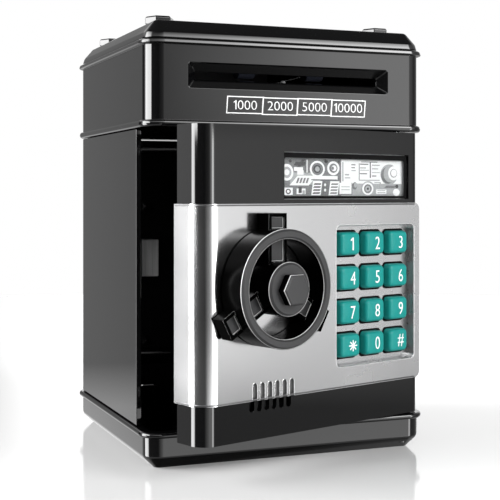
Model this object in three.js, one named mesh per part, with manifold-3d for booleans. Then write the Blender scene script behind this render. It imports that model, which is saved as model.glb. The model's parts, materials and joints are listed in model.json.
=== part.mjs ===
// Toy cash-machine savings bank: a moulded cabinet with a hinged safe door, a motor-fed note slot in the head,
// a keypad with travelling keys, and a hand wheel that throws the latch bolt.
// Millimetres, +Z up. The origin is on the underside of the base, under the middle of the cabinet.
// -Y is the front, and the door stands ajar by DOOR_AJAR_DEG.
import * as THREE from "three";
import { mergeVertices } from "three/addons/utils/BufferGeometryUtils.js";
import Module from "manifold-3d";

const wasm = await Module();
wasm.setup();

// ---------- driving dimensions ----------
const GAP = 0.3; // clearance between pieces that rest on each other
const WALL = 3; // cabinet wall
const HALF_X = 65.5; // cabinet half width
const HALF_Y = 60.5; // cabinet half depth
const CORNER_R = 7.5; // upright corners of the cabinet

const BASE = { floor: 2.4, chamferTop: 5.1, chamferInset: 5, lipBottom: 13.3, top: 15.8, lipProud: 1.8 };
const SHELL = { bottom: 16.1, top: 143.6, frontEdgeY: -44.1, wall: 2.4 };
const HEAD = { bottom: 143.9, beadTop: 146.9, floorTop: 147.4, ledgeBottom: 178.7, top: 181.1 };
const BEAD_PROUD = 1.6;
const LEDGE_PROUD = 1.9;
const LID = { bottom: 181.4, edgeTop: 184, top: 189.6, bevel: 5.5, plate: 3 };
const LID_BOLT = { x: 53, frontY: -37.3, rearY: 43.2, acrossFlats: 11.4, height: 3.4, chamfer: 0.7 };

const SLOT = { outerHalfX: 47.5, outerHalfZ: 5.55, slitHalfX: 43.5, slitHalfZ: 1.75, z: 166.1, depth: 4 };
const SLOT_BACKING = { halfX: 50, bottom: 157, top: 175 };
const COIN_SLOT = { halfX: 17.5, halfY: 2.4, y: 22.7 };
const CHUTE = { halfX: 20.5, halfY: 6.3, wall: 2, bottom: 143.2, top: 186.3 };
const NOTE_DROP = { halfX: 44, yFront: -19, yBack: 13 };

const FEED = { y: -46, z: 158.4, shaftR: 1.5, wheelR: 7.4, wheelX: 16.5, wheelWidth: 8 };
const IDLER = { z: 171.6, rollerR: 5 };
const FEED_GEAR = { teeth: 24, module: 0.8, x: 51.2, width: 3.6 };
const PINION_TEETH = 10;
const MOTOR = { z: 155.2, length: 24.5, halfY: 10, halfZ: 7.5, xEnd: 45.9, shaftR: 1, shaftEnd: 56 };
const GUIDE = { plateBottom: 163, plateTop: 164.2, cheekIn: 46.3, cheekOut: 49, yFront: -54.2, yBack: -21 };
const CHEEK_TOP = 177;
const BILL_SENSOR = { r: 1.2, y: -51, top: 165.8 };

const CELL = { r: 7.1, halfLength: 25, z: 9.9, pitch: 15.1, midY: 33.1 };
const CONTACT = { plate: [27.4, 28.2], bump: [26, 27.5], bumpR: 2.2, z: [4, 16] };
const CELL_BOX = { halfX: 29.5, yFront: 10.6, yBack: 55.6, roof: 17.5 };
const COVER = { halfX: 31, yFront: 9.6, yBack: 56.6, bottom: 0.4, top: 2 };
const COVER_TAB = { xEnd: 40, yFront: 28, yBack: 38, screwX: 35.8, screwY: 33, seatTop: 4.6 };
const COVER_SCREW = { headR: 2.6, head: 0.8, shankR: 1.2, length: 8, z: 0.3, sinkR: 3 };
const DOOR_SCREW = { headR: 2.6, head: 1.1, shankR: 1.2, length: 8 };

const HINGE = { x: 56.4, y: -54.55, pinR: 1.5, holeR: 1.8, bossR: 4 };
const HINGE_BOSS = { lowerTop: 26, upperBottom: 134.5 };
const HINGE_PIN_ENDS = { lower: [8.8, 24], upper: [136, HEAD.floorTop - 0.1] };
const DOOR_AJAR_DEG = 18.75;
// Door sizes are in the door's own frame: origin on the hinge axis, x to the right, y inwards when shut.
const DOOR = { left: -119.34, right: 6.9, front: -6.06, back: 9.9, bottom: 16.2, top: 143.5, wall: 2.5 };
const DOOR_CORNER_R = 6.85;
const DOOR_HINGE_SIDE_R = 4;
const PLATE = { left: -120.9, right: 4.8, front: -8.13, inner: -6.36, bottom: 32.3, top: 111.7, cornerR: 3 };
const PLATE_SIDE = 1.26; // thickness where the plate wraps round the free edge
const WINDOW = { left: -76.2, right: -0.1, bottom: 113.4, top: 133.3 };
const PAD = { left: -48.1, right: 1.5, bottom: 41.1, top: 102.3, floor: -4.13, floorThickness: 1.2 };
const PAD_RIM = 1.5;
const PAD_CORNER_R = 2.6;
const KEY = { halfX: 6, halfZ: 5.05, cornerR: 1.4, holeGap: 0.6, front: -8.3 };
const KEY_FLANGE = { front: -2.4, back: -1.1, growX: 1.2, growZ: 1.1 };
const KEY_COLUMNS = [-38.9, -23.6, -8.6];
const KEY_ROWS = [94.1, 79.2, 64.4, 50];
const KEY_NAMES = [
  ["key_1", "key_2", "key_3"],
  ["key_4", "key_5", "key_6"],
  ["key_7", "key_8", "key_9"],
  ["key_star", "key_0", "key_hash"],
];
const VENT = { count: 6, pitch: 4, firstX: -93.7, halfWidth: 1.35, bottom: 27.4, top: 39.6 };
const BACK_COVER = { inner: 7.4, outer: 9.4, margin: 0.3 };
const LOUVRES = { count: 5, x: [-98, -70], firstZ: 26, height: 2, pitch: 4 };
const HINGE_RELIEF = { left: -4.6, top: 20 }; // room for the lower hinge boss behind the back cover's edge
const SHEET = { domeFront: 0.7, front: 1, back: 1.8, domeR: 3 };
const BOARD = { front: 2.2, back: 3.8, inset: 0.5 };
const CHIPS = [ // on the board's back: x range, rear face, z range
  { x: [-36, -24], rear: 5.2, z: [70, 82] },
  { x: [-16, -6], rear: 5, z: [52, 58] },
  { x: [-44, -38], rear: 6.4, z: [48, 58] },
];
const CAPACITORS = { r: 2.5, rear: 7, at: [[-12, 78], [-12, 88]] };
const SPEAKER = { z: 32.6, rimR: 10, basketR: 8.6, magnetR: 5 };
const SPEAKER_DEPTHS = { front: -3.1, rimBack: -1.6, basketBack: 0.8, back: 3.4 };
const SCREW_POSTS = [[-112.5, 24], [-112.5, 136], [-54, 24], [-54, 108]];

const KNOB = { x: -87.5, z: 77.8 };
// Sizes along the knob's own axis are measured outwards from the plane KNOB_PLANE_Y of the door's frame.
const KNOB_PLANE_Y = -2.5;
const WHEEL = { back: 6.3, front: 19, outerR: 24, innerR: 20.1, hubR: 10.8, hubFront: 20.2 };
const LUG = { tipR: 30.2, width: 9.6, front: 12.5, pocketDepth: 3.4, rib: 1.5 };
const DRIVE = { roundR: 4, square: 5, fit: 0.3, squareStart: -2.5, end: -20.9 };
const CAM = { r: 9, notchR: 6.2, notchHalf: 2.7, y0: 0.5, y1: 3.5 };
const PLUNGER = { r: 2, y: 2, tip: 68.2, tail: 50.5 };
const SOLENOID = { halfX: 6.5, y0: -2, y1: 6, bottom: 44, top: 62 };
const LATCH = { module: 1, pinionTeeth: 12, y0: 13.6, y1: 17.6, tip: -107.5, tail: -72.6, top: 91 };
const LATCH_MOUTH_BOTTOM = 84.3;
const HEX_BOLT = { acrossFlats: 12.1, front: 24.6, shankR: 2.5, shankEnd: 12.3, boreR: 2.8, boreEnd: 12 };
const TOOTH = { addendum: 0.8, dedendum: 1.1 }; // in modules
const LATCH_BOX = { left: -108.2, right: -70.5, y0: 9.7, y1: 20.4, bottom: 68, top: 93.4, wall: 1.6 };
const STRIKE = { left: -62.8, right: -55.2, yFront: -43.3, yBack: -33.5, bottom: 80, top: 96 };

// ---------- solids ----------
function toSolid(geometry) {
  const bare = geometry.clone();
  bare.deleteAttribute("normal");
  bare.deleteAttribute("uv");
  const merged = mergeVertices(bare, 1e-4);
  return new wasm.Manifold(
    new wasm.Mesh({
      numProp: 3,
      vertProperties: new Float32Array(merged.attributes.position.array),
      triVerts: new Uint32Array(merged.index.array),
    }),
  );
}

function toGeometry(solid) {
  const mesh = solid.getMesh();
  const geometry = new THREE.BufferGeometry();
  geometry.setAttribute("position", new THREE.BufferAttribute(mesh.vertProperties.slice(), 3));
  geometry.setIndex(new THREE.BufferAttribute(mesh.triVerts.slice(), 1));
  geometry.computeVertexNormals();
  return geometry;
}

const join = (...solids) => solids.reduce((a, b) => a.add(b));
const cut = (solid, ...tools) => tools.reduce((a, b) => a.subtract(b), solid);

function block([x0, x1], [y0, y1], [z0, z1]) {
  const box = new THREE.BoxGeometry(x1 - x0, y1 - y0, z1 - z0);
  return toSolid(box.translate((x0 + x1) / 2, (y0 + y1) / 2, (z0 + z1) / 2));
}

// A block along y with its four long edges rounded.
function roundedBlock([x0, x1], [y0, y1], [z0, z1], radius, cornerSteps) {
  const half = [(x1 - x0) / 2, (z1 - z0) / 2];
  const bar = stack([[-y1, ...half, radius], [-y0, ...half, radius]], cornerSteps);
  return bar.rotate([90, 0, 0]).translate([(x0 + x1) / 2, 0, (z0 + z1) / 2]);
}

// A cylinder from `from` to `to` along one axis. Its centre line is at `at`, the other two coordinates in order.
function rod(axis, r, at, [from, to], segments = 24) {
  const g = new THREE.CylinderGeometry(r, r, to - from, segments);
  const middle = (from + to) / 2;
  if (axis === "x") g.rotateZ(-Math.PI / 2).translate(middle, at[0], at[1]);
  if (axis === "y") g.translate(at[0], middle, at[1]);
  if (axis === "z") g.rotateX(Math.PI / 2).translate(at[0], at[1], middle);
  return toSolid(g);
}

function roundedOutline(halfX, halfY, radius, cornerSteps) {
  const points = [];
  const centres = [[1, 1], [-1, 1], [-1, -1], [1, -1]];
  centres.forEach(([sx, sy], quarter) => {
    for (let i = 0; i <= cornerSteps; i++) {
      const angle = ((quarter + i / cornerSteps) * Math.PI) / 2;
      const x = sx * (halfX - radius) + radius * Math.cos(angle);
      points.push([x, sy * (halfY - radius) + radius * Math.sin(angle)]);
    }
  });
  return points;
}

// A closed skin through rounded rectangles stacked along z: each ring is [z, halfX, halfY, radius].
function stack(rings, cornerSteps = 7) {
  const outlines = rings.map(([, hx, hy, r]) => roundedOutline(hx, hy, r, cornerSteps));
  const count = outlines[0].length;
  const positions = [];
  rings.forEach(([z], k) => outlines[k].forEach(([x, y]) => positions.push(x, y, z)));
  const index = [];
  for (let k = 0; k + 1 < rings.length; k++) {
    for (let i = 0; i < count; i++) {
      const a = k * count + i;
      const b = k * count + ((i + 1) % count);
      index.push(a, b, b + count, a, b + count, a + count);
    }
  }
  const last = (rings.length - 1) * count;
  for (let i = 1; i + 1 < count; i++) index.push(0, i + 1, i, last, last + i, last + i + 1);
  const geometry = new THREE.BufferGeometry();
  geometry.setAttribute("position", new THREE.Float32BufferAttribute(positions, 3));
  geometry.setIndex(index);
  return toSolid(geometry);
}

const prism = (shape, [z0, z1], curveSegments = 8) =>
  toSolid(
    new THREE.ExtrudeGeometry(shape, { depth: z1 - z0, bevelEnabled: false, curveSegments }).translate(0, 0, z0),
  );

// The cabinet's rounded rectangle drawn in or out by `inset`.
const cabinetRing = (z, inset) => [z, HALF_X - inset, HALF_Y - inset, CORNER_R - inset];

// The rings of a rounded moulding that stands `proud` of the cabinet between two heights.
const MOULDING_SQUARE = 0.35; // how much of a moulding's depth its top and bottom edges already have
function moulding(z0, z1, proud, steps = 6) {
  const middle = (z0 + z1) / 2;
  const half = (z1 - z0) / 2;
  return Array.from({ length: steps + 1 }, (_, i) => {
    const angle = Math.PI * (i / steps - 0.5);
    const share = MOULDING_SQUARE + (1 - MOULDING_SQUARE) * Math.cos(angle);
    return cabinetRing(middle + half * Math.sin(angle), -proud * share);
  });
}

// ---------- finishes ----------
const finish = (color, roughness, metalness = 0) => ({ color, roughness, metalness });
const FINISH = {
  blackGloss: finish(0x2b2b2d, 0.18),
  blackSatin: finish(0x1c1c1e, 0.35),
  silver: finish(0xcfcfd1, 0.38, 0.55),
  teal: finish(0x2fa9a6, 0.35),
  clear: finish(0xdfe6ea, 0.05),
  print: finish(0xd8d8d6, 0.6),
  rubber: finish(0x39455a, 0.7),
  steel: finish(0xb8babd, 0.3, 1),
  greyPlastic: finish(0x77797c, 0.5),
  whitePlastic: finish(0xe6e4de, 0.45),
  board: finish(0x1f6b45, 0.5),
  cell: finish(0x3b5f8f, 0.35),
  copper: finish(0xb0713c, 0.35, 1),
};

function addPiece(group, name, solid, look) {
  const mesh = new THREE.Mesh(toGeometry(solid), new THREE.MeshStandardMaterial(look));
  mesh.name = name;
  group.add(mesh);
  return mesh;
}

// ---------- cabinet ----------
function basePlinth() {
  const body = stack([
    cabinetRing(0, BASE.chamferInset),
    cabinetRing(BASE.chamferTop - 0.8, 0.5),
    cabinetRing(BASE.chamferTop + 0.6, 0),
    cabinetRing(BASE.lipBottom, 0),
    ...moulding(BASE.lipBottom, BASE.top, BASE.lipProud),
  ]);
  const tray = stack([
    cabinetRing(BASE.floor, WALL + 3.9),
    cabinetRing(BASE.floor + 4.2, WALL),
    cabinetRing(BASE.top + 1, WALL),
  ]);
  const wall = 2;
  const cellRoof = CELL_BOX.roof + 1.9;
  const cellHousing = block(
    [-COVER.halfX - wall, COVER.halfX + wall],
    [COVER.yFront - wall, HALF_Y - WALL - GAP],
    [BASE.floor - 0.1, cellRoof],
  );
  const tabSeat = block(
    [COVER.halfX, COVER_TAB.xEnd + wall],
    [COVER_TAB.yFront - wall, COVER_TAB.yBack + wall],
    [BASE.floor - 0.1, COVER_TAB.seatTop],
  );
  const screwPost = rod("z", 4.6, [COVER_TAB.screwX, COVER_TAB.screwY], [BASE.floor - 0.1, 12]);
  const hingePost = rod("z", HINGE.bossR, [HINGE.x, HINGE.y], [BASE.floor - 0.1, BASE.top]);
  const cells = block(
    [-CELL_BOX.halfX, CELL_BOX.halfX],
    [CELL_BOX.yFront, CELL_BOX.yBack],
    [-1, CELL_BOX.roof],
  );
  const coverSeat = coverOutline(0.4, [-1, COVER.top + GAP]);
  const screwHole = rod("z", 1.5, [COVER_TAB.screwX, COVER_TAB.screwY], [-1, 10]);
  const pinHole = rod("z", HINGE.holeR, [HINGE.x, HINGE.y], [8.5, BASE.top + 1]);
  const tubShape = join(cut(body, tray), cellHousing, tabSeat, screwPost, hingePost);
  return cut(tubShape, cells, coverSeat, screwHole, pinHole);
}

function coverOutline(grow, [z0, z1]) {
  const plate = block(
    [-COVER.halfX - grow, COVER.halfX + grow],
    [COVER.yFront - grow, COVER.yBack + grow],
    [z0, z1],
  );
  const tab = block(
    [COVER.halfX - 1, COVER_TAB.xEnd + grow],
    [COVER_TAB.yFront - grow, COVER_TAB.yBack + grow],
    [z0, z1],
  );
  return join(plate, tab);
}

function batteryCover() {
  const screwAt = [COVER_TAB.screwX, COVER_TAB.screwY];
  const screwHole = rod("z", 1.5, screwAt, [-1, 4], 16);
  const screwSink = rod("z", COVER_SCREW.sinkR, screwAt, [-1, COVER_SCREW.z + COVER_SCREW.head + GAP]);
  const grips = [0, 1, 2, 3].map((i) =>
    block([-9, 9], [16 + 3 * i, 17 + 3 * i], [COVER.bottom - 1, COVER.bottom + 0.5]),
  );
  return cut(coverOutline(0, [COVER.bottom, COVER.top]), screwHole, screwSink, ...grips);
}

// A round-headed screw along +z with its head's outer face at z = 0.
function screw({ headR, head: headHeight, shankR, length }) {
  const head = rod("z", headR, [0, 0], [0, headHeight], 16);
  const shank = rod("z", shankR, [0, 0], [headHeight - 0.1, length], 10);
  const arm = [-headR * 0.62, headR * 0.62];
  const thin = [-0.4, 0.4];
  const drive = join(block(arm, thin, [-1, headHeight / 2]), block(thin, arm, [-1, headHeight / 2]));
  return cut(join(head, shank), drive);
}

function mainShell() {
  const outer = new THREE.Shape();
  const left = -HALF_X;
  const inner = HALF_X - SHELL.wall;
  const innerR = CORNER_R - SHELL.wall;
  outer.moveTo(left, SHELL.frontEdgeY);
  outer.lineTo(-inner, SHELL.frontEdgeY);
  outer.lineTo(-inner, HALF_Y - CORNER_R);
  outer.absarc(-inner + innerR, HALF_Y - CORNER_R, innerR, Math.PI, Math.PI / 2, true);
  outer.absarc(inner - innerR, HALF_Y - CORNER_R, innerR, Math.PI / 2, 0, true);
  outer.lineTo(inner, SHELL.frontEdgeY);
  outer.lineTo(HALF_X, SHELL.frontEdgeY);
  outer.absarc(HALF_X - CORNER_R, HALF_Y - CORNER_R, CORNER_R, 0, Math.PI / 2, false);
  outer.absarc(left + CORNER_R, HALF_Y - CORNER_R, CORNER_R, Math.PI / 2, Math.PI, false);
  outer.closePath();
  return prism(outer, [SHELL.bottom, SHELL.top], 6);
}

// A tapered opening that narrows from its outer size at the front face to the slit behind it.
function noteSlotCut() {
  const bevelEnd = SLOT.depth;
  const cutter = stack(
    [
      [-1, SLOT.outerHalfX, SLOT.outerHalfZ, 1],
      [0, SLOT.outerHalfX, SLOT.outerHalfZ, 1],
      [bevelEnd, SLOT.slitHalfX, SLOT.slitHalfZ, 0.4],
      [bevelEnd + 8, SLOT.slitHalfX, SLOT.slitHalfZ, 0.4],
    ],
    1,
  );
  // The stack's z becomes the inward direction, +Y.
  return cutter.rotate([-90, 0, 0]).translate([0, -HALF_Y, SLOT.z]);
}

function headHousing() {
  const body = stack([
    ...moulding(HEAD.bottom, HEAD.beadTop, BEAD_PROUD),
    cabinetRing(HEAD.beadTop, 0),
    cabinetRing(HEAD.ledgeBottom, 0),
    cabinetRing(HEAD.ledgeBottom, -0.4 * LEDGE_PROUD),
    cabinetRing(HEAD.ledgeBottom + 0.25, -0.8 * LEDGE_PROUD),
    cabinetRing(HEAD.ledgeBottom + 0.65, -LEDGE_PROUD),
    cabinetRing(HEAD.top - 0.55, -0.84 * LEDGE_PROUD),
    cabinetRing(HEAD.top - 0.15, -0.6 * LEDGE_PROUD),
    cabinetRing(HEAD.top, -0.3 * LEDGE_PROUD),
  ]);
  const inside = stack([cabinetRing(HEAD.floorTop, WALL), cabinetRing(HEAD.top + 1, WALL)]);
  const slotBacking = block(
    [-SLOT_BACKING.halfX, SLOT_BACKING.halfX],
    [-HALF_Y + WALL - 0.1, GUIDE.yFront - GAP],
    [SLOT_BACKING.bottom, SLOT_BACKING.top],
  );
  const noteDrop = block(
    [-NOTE_DROP.halfX, NOTE_DROP.halfX],
    [NOTE_DROP.yFront, NOTE_DROP.yBack],
    [HEAD.bottom - 1, HEAD.floorTop + 1],
  );
  const chuteHole = block(
    [-CHUTE.halfX - 0.5, CHUTE.halfX + 0.5],
    [COIN_SLOT.y - CHUTE.halfY - 0.5, COIN_SLOT.y + CHUTE.halfY + 0.5],
    [HEAD.bottom - 1, HEAD.floorTop + 1],
  );
  const pinHole = rod("z", HINGE.holeR, [HINGE.x, HINGE.y], [HEAD.bottom - 1, HEAD.floorTop + 1]);
  return cut(join(cut(body, inside), slotBacking), noteSlotCut(), noteDrop, chuteHole, pinHole);
}

function topLid() {
  const body = stack([
    cabinetRing(LID.bottom, 0.2),
    cabinetRing(LID.bottom + 0.3, 0),
    cabinetRing(LID.edgeTop - 0.3, 0.55),
    cabinetRing(LID.edgeTop + 0.5, 1),
    cabinetRing(LID.top - 0.7, LID.bevel - 0.7),
    cabinetRing(LID.top - 0.15, LID.bevel + 0.1),
    cabinetRing(LID.top, LID.bevel + 0.9),
  ]);
  const inside = stack([
    cabinetRing(LID.bottom - 1, WALL),
    cabinetRing(LID.edgeTop - 1.3, WALL),
    cabinetRing(LID.top - LID.plate, WALL + LID.bevel - 1.7),
  ]);
  const slot = stack([
    [LID.bottom, COIN_SLOT.halfX, COIN_SLOT.halfY, 2.2],
    [LID.top - 0.8, COIN_SLOT.halfX, COIN_SLOT.halfY, 2.2],
    [LID.top + 0.2, COIN_SLOT.halfX + 1, COIN_SLOT.halfY + 1, 3.2],
  ]).translate([0, COIN_SLOT.y, 0]);
  return cut(body, inside, slot);
}

function lidBolt() {
  const r = LID_BOLT.acrossFlats / Math.sqrt(3);
  const top = LID_BOLT.height;
  const side = [[0, 0], [r, 0], [r, top - LID_BOLT.chamfer], [r - LID_BOLT.chamfer, top], [0, top]];
  const profile = side.map(([x, y]) => new THREE.Vector2(x, y));
  // Two of the flats face the front and the back.
  return toSolid(new THREE.LatheGeometry(profile, 6).rotateX(Math.PI / 2).rotateZ(Math.PI / 2));
}

function coinChute() {
  const { halfX, halfY, wall, bottom, top } = CHUTE;
  const outer = block([-halfX, halfX], [-halfY, halfY], [bottom, top]);
  const bore = block([wall - halfX, halfX - wall], [wall - halfY, halfY - wall], [bottom - 1, top + 1]);
  return cut(outer, bore).translate([0, COIN_SLOT.y, 0]);
}

function noteGuide(motorY) {
  const depth = [GUIDE.yFront, GUIDE.yBack];
  const plate = block([-GUIDE.cheekOut, GUIDE.cheekOut], depth, [GUIDE.plateBottom, GUIDE.plateTop]);
  const cheekZ = [HEAD.floorTop + GAP, CHEEK_TOP];
  const cheeks = [-1, 1].map((side) => {
    const x = [side * GUIDE.cheekIn, side * GUIDE.cheekOut].sort((a, b) => a - b);
    return block(x, depth, cheekZ);
  });
  const wheelWindow = (x) =>
    block(
      [x - FEED.wheelWidth / 2 - 1, x + FEED.wheelWidth / 2 + 1],
      [FEED.y - FEED.wheelR - 0.4, FEED.y + FEED.wheelR + 0.4],
      [GUIDE.plateBottom - 1, GUIDE.plateTop + 1],
    );
  const across = [-GUIDE.cheekOut - 1, GUIDE.cheekOut + 1];
  const bores = [FEED.z, IDLER.z].map((z) => rod("x", FEED.shaftR + 0.1, [FEED.y, z], across, 16));
  const motorBore = rod("x", MOTOR.shaftR + 1.5, [motorY, MOTOR.z], [GUIDE.cheekIn - 1, across[1]]);
  return cut(
    join(plate, ...cheeks),
    wheelWindow(-FEED.wheelX),
    wheelWindow(FEED.wheelX),
    ...bores,
    motorBore,
  );
}

// Straight-flanked teeth round a disc; tooth 0 is centred on angle 0.
function gearShape(teeth, module) {
  const pitchR = (teeth * module) / 2;
  const step = (2 * Math.PI) / teeth;
  const rootR = pitchR - TOOTH.dedendum * module;
  const tipR = pitchR + TOOTH.addendum * module;
  const shape = new THREE.Shape();
  for (let i = 0; i < teeth; i++) {
    const corners = [[rootR, -0.3], [tipR, -0.1], [tipR, 0.1], [rootR, 0.3]];
    corners.forEach(([r, share], k) => {
      const angle = (i + share) * step;
      const point = [r * Math.cos(angle), r * Math.sin(angle)];
      if (i === 0 && k === 0) shape.moveTo(...point);
      else shape.lineTo(...point);
    });
  }
  shape.closePath();
  return shape;
}

// A gear about the x axis, with tooth 0 pointing at `toothAngle` in the y-z plane.
function gearAboutX(teeth, module, [x0, x1], boreR, toothAngle) {
  const disc = prism(gearShape(teeth, module), [0, x1 - x0]);
  const bored = cut(disc, rod("z", boreR, [0, 0], [-1, x1 - x0 + 1], 16));
  const degrees = (toothAngle * 180) / Math.PI;
  return bored.rotate([0, 0, degrees]).rotate([90, 0, 90]).translate([x0, 0, 0]);
}

function feedMotor(motorY) {
  const can = block(
    [MOTOR.xEnd - MOTOR.length, MOTOR.xEnd],
    [motorY - MOTOR.halfY, motorY + MOTOR.halfY],
    [MOTOR.z - MOTOR.halfZ, MOTOR.z + MOTOR.halfZ],
  );
  const cap = rod("x", 4.5, [motorY, MOTOR.z], [MOTOR.xEnd - MOTOR.length - 2, MOTOR.xEnd - MOTOR.length + 1]);
  const shaft = rod("x", MOTOR.shaftR, [motorY, MOTOR.z], [MOTOR.xEnd - 1, MOTOR.shaftEnd], 16);
  return join(can, cap, shaft);
}

function feedWheel(x) {
  const half = FEED.wheelWidth / 2;
  const at = [FEED.y, FEED.z];
  const tread = rod("x", FEED.wheelR, at, [x - half, x + half], 32);
  return cut(tread, rod("x", FEED.shaftR + GAP, at, [x - half - 1, x + half + 1], 16));
}

function idlerRoller() {
  const at = [FEED.y, IDLER.z];
  const half = FEED.wheelWidth / 2;
  const shaft = rod("x", FEED.shaftR - 0.05, at, [-GUIDE.cheekOut - 1, GUIDE.cheekOut + 1], 16);
  const rollers = [-FEED.wheelX, FEED.wheelX].map((x) => rod("x", IDLER.rollerR, at, [x - half, x + half]));
  return join(shaft, ...rollers);
}

function strikePlate() {
  const body = block([STRIKE.left, STRIKE.right], [STRIKE.yFront, STRIKE.yBack], [STRIKE.bottom, STRIKE.top]);
  const clear = 0.5;
  const pocket = block(
    [STRIKE.left + 1.2, STRIKE.right + 1],
    [HINGE.y + LATCH.y0 - clear, HINGE.y + LATCH.y1 + clear],
    [LATCH_MOUTH_BOTTOM - 0.1, LATCH.top + clear],
  );
  return cut(body, pocket);
}

function battery(row) {
  const at = [CELL.midY + (row - 1) * CELL.pitch, CELL.z];
  const flip = row % 2 === 0 ? 1 : -1;
  const ends = (a, b) => [a * flip, b * flip].sort((m, n) => m - n);
  const body = rod("x", CELL.r, at, [-CELL.halfLength + 0.5, CELL.halfLength - 1.5]);
  const shifted = flip === 1 ? body : body.mirror([1, 0, 0]);
  const nub = rod("x", 2.6, at, ends(CELL.halfLength - 2, CELL.halfLength), 16);
  return join(shifted, nub);
}

function batteryContact(side) {
  const onSide = (range) => range.map((x) => side * x).sort((a, b) => a - b);
  const strip = block(onSide(CONTACT.plate), [CELL_BOX.yFront + 0.5, CELL_BOX.yBack - 0.5], CONTACT.z);
  const bumps = [-1, 0, 1].map((row) =>
    rod("x", CONTACT.bumpR, [CELL.midY + row * CELL.pitch, CELL.z], onSide(CONTACT.bump), 12),
  );
  return join(strip, ...bumps);
}

// ---------- door ----------
function doorOutline() {
  const { left, right, front, back } = DOOR;
  const chamfer = 1.6;
  const shape = new THREE.Shape();
  const hingeR = DOOR_HINGE_SIDE_R;
  shape.moveTo(left, back);
  shape.lineTo(left, front + DOOR_CORNER_R);
  shape.absarc(left + DOOR_CORNER_R, front + DOOR_CORNER_R, DOOR_CORNER_R, Math.PI, 1.5 * Math.PI, false);
  shape.absarc(right - hingeR, front + hingeR, hingeR, -Math.PI / 2, 0, false);
  shape.lineTo(right, back - chamfer);
  shape.lineTo(right - chamfer, back);
  shape.closePath();
  return shape;
}

function ventCuts([y0, y1]) {
  return Array.from({ length: VENT.count }, (_, i) => {
    const x = VENT.firstX + i * VENT.pitch;
    const half = VENT.halfWidth;
    const ends = [VENT.bottom + half, VENT.top - half];
    const caps = ends.map((z) => rod("y", half, [x, z], [y0, y1], 12));
    return join(block([x - half, x + half], [y0, y1], ends), ...caps);
  });
}

function doorShell() {
  const { wall, left, right, front, back, bottom, top } = DOOR;
  const body = prism(doorOutline(), [bottom, top], 6);
  const inside = block([left + wall, right - wall], [front + wall, back + 1], [bottom + wall, top - wall]);
  const bossRanges = [[bottom + 1, HINGE_BOSS.lowerTop], [HINGE_BOSS.upperBottom, top - 1]];
  const bosses = bossRanges.map((z) => rod("z", HINGE.bossR, [0, 0], z));
  const posts = SCREW_POSTS.map(([x, z]) => rod("y", 3.2, [x, z], [front + 1, BACK_COVER.inner - GAP], 16));
  const postHoles = SCREW_POSTS.map(([x, z]) => rod("y", 1.5, [x, z], [front + wall, back], 12));
  const window = block([WINDOW.left, WINDOW.right], [front - 1, front + wall + 1], [WINDOW.bottom, WINDOW.top]);
  const grow = PAD_RIM + GAP;
  const padOpening = block(
    [PAD.left - grow, PAD.right + grow],
    [front - 1, front + wall + 1],
    [PAD.bottom - grow, PAD.top + grow],
  );
  const knobHole = rod("y", DRIVE.roundR + GAP, [KNOB.x, KNOB.z], [front - 1, front + wall + 1]);
  const pinHole = rod("z", HINGE.holeR, [0, 0], [bottom - 1, top + 1]);
  const hollow = join(cut(body, inside), ...bosses, ...posts);
  return cut(hollow, window, padOpening, knobHole, pinHole, ...postHoles, ...ventCuts([front - 1, -3]));
}

function faceplateOutline() {
  const outerR = 8.4;
  const innerLeft = PLATE.left + PLATE_SIDE;
  const innerR = DOOR_CORNER_R + GAP;
  const shape = new THREE.Shape();
  shape.moveTo(PLATE.right, PLATE.inner);
  shape.lineTo(innerLeft + innerR, PLATE.inner);
  shape.absarc(innerLeft + innerR, PLATE.inner + innerR, innerR, -Math.PI / 2, -Math.PI, true);
  shape.lineTo(innerLeft, DOOR.back - 0.04);
  shape.lineTo(PLATE.left, DOOR.back - 0.04);
  shape.absarc(PLATE.left + outerR, PLATE.front + outerR, outerR, Math.PI, 1.5 * Math.PI, false);
  shape.lineTo(PLATE.right, PLATE.front);
  shape.closePath();
  return shape;
}

// What is cut away to round one hinge-side corner of the plate: a small square less a quarter disc.
function plateCorner(z, side) {
  const r = PLATE.cornerR;
  const y = [PLATE.front - 1, PLATE.inner + 1];
  const zs = [z - side * r, z + side].sort((a, b) => a - b);
  const square = block([PLATE.right - r, PLATE.right + 1], y, zs);
  return cut(square, rod("y", r, [PLATE.right - r, z - side * r], [y[0] - 1, y[1] + 1], 24));
}

function faceplate() {
  const plate = prism(faceplateOutline(), [PLATE.bottom, PLATE.top], 6);
  const trayBack = PAD.floor + PAD.floorThickness;
  const padX = [PAD.left, PAD.right];
  const padZ = [PAD.bottom, PAD.top];
  const recess = roundedBlock(padX, [PLATE.front - 1, PAD.floor], padZ, PAD_CORNER_R, 5);
  const tray = block(
    [PAD.left - PAD_RIM, PAD.right + PAD_RIM],
    [PLATE.inner - 0.2, trayBack],
    [PAD.bottom - PAD_RIM, PAD.top + PAD_RIM],
  );
  const holes = KEY_ROWS.flatMap((z) =>
    KEY_COLUMNS.map((x) => {
      const hx = KEY.halfX + KEY.holeGap;
      const hz = KEY.halfZ + KEY.holeGap;
      const through = [PAD.floor - 1, trayBack + 1];
      return roundedBlock([x - hx, x + hx], through, [z - hz, z + hz], KEY.cornerR + KEY.holeGap, 3);
    }),
  );
  const knobHole = rod("y", DRIVE.roundR + GAP, [KNOB.x, KNOB.z], [PLATE.front - 1, PLATE.inner + 1]);
  return cut(
    join(plate, tray),
    recess,
    ...holes,
    knobHole,
    ...ventCuts([PLATE.front - 1, PLATE.inner + 1]),
    plateCorner(PLATE.bottom, -1),
    plateCorner(PLATE.top, 1),
  );
}

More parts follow.
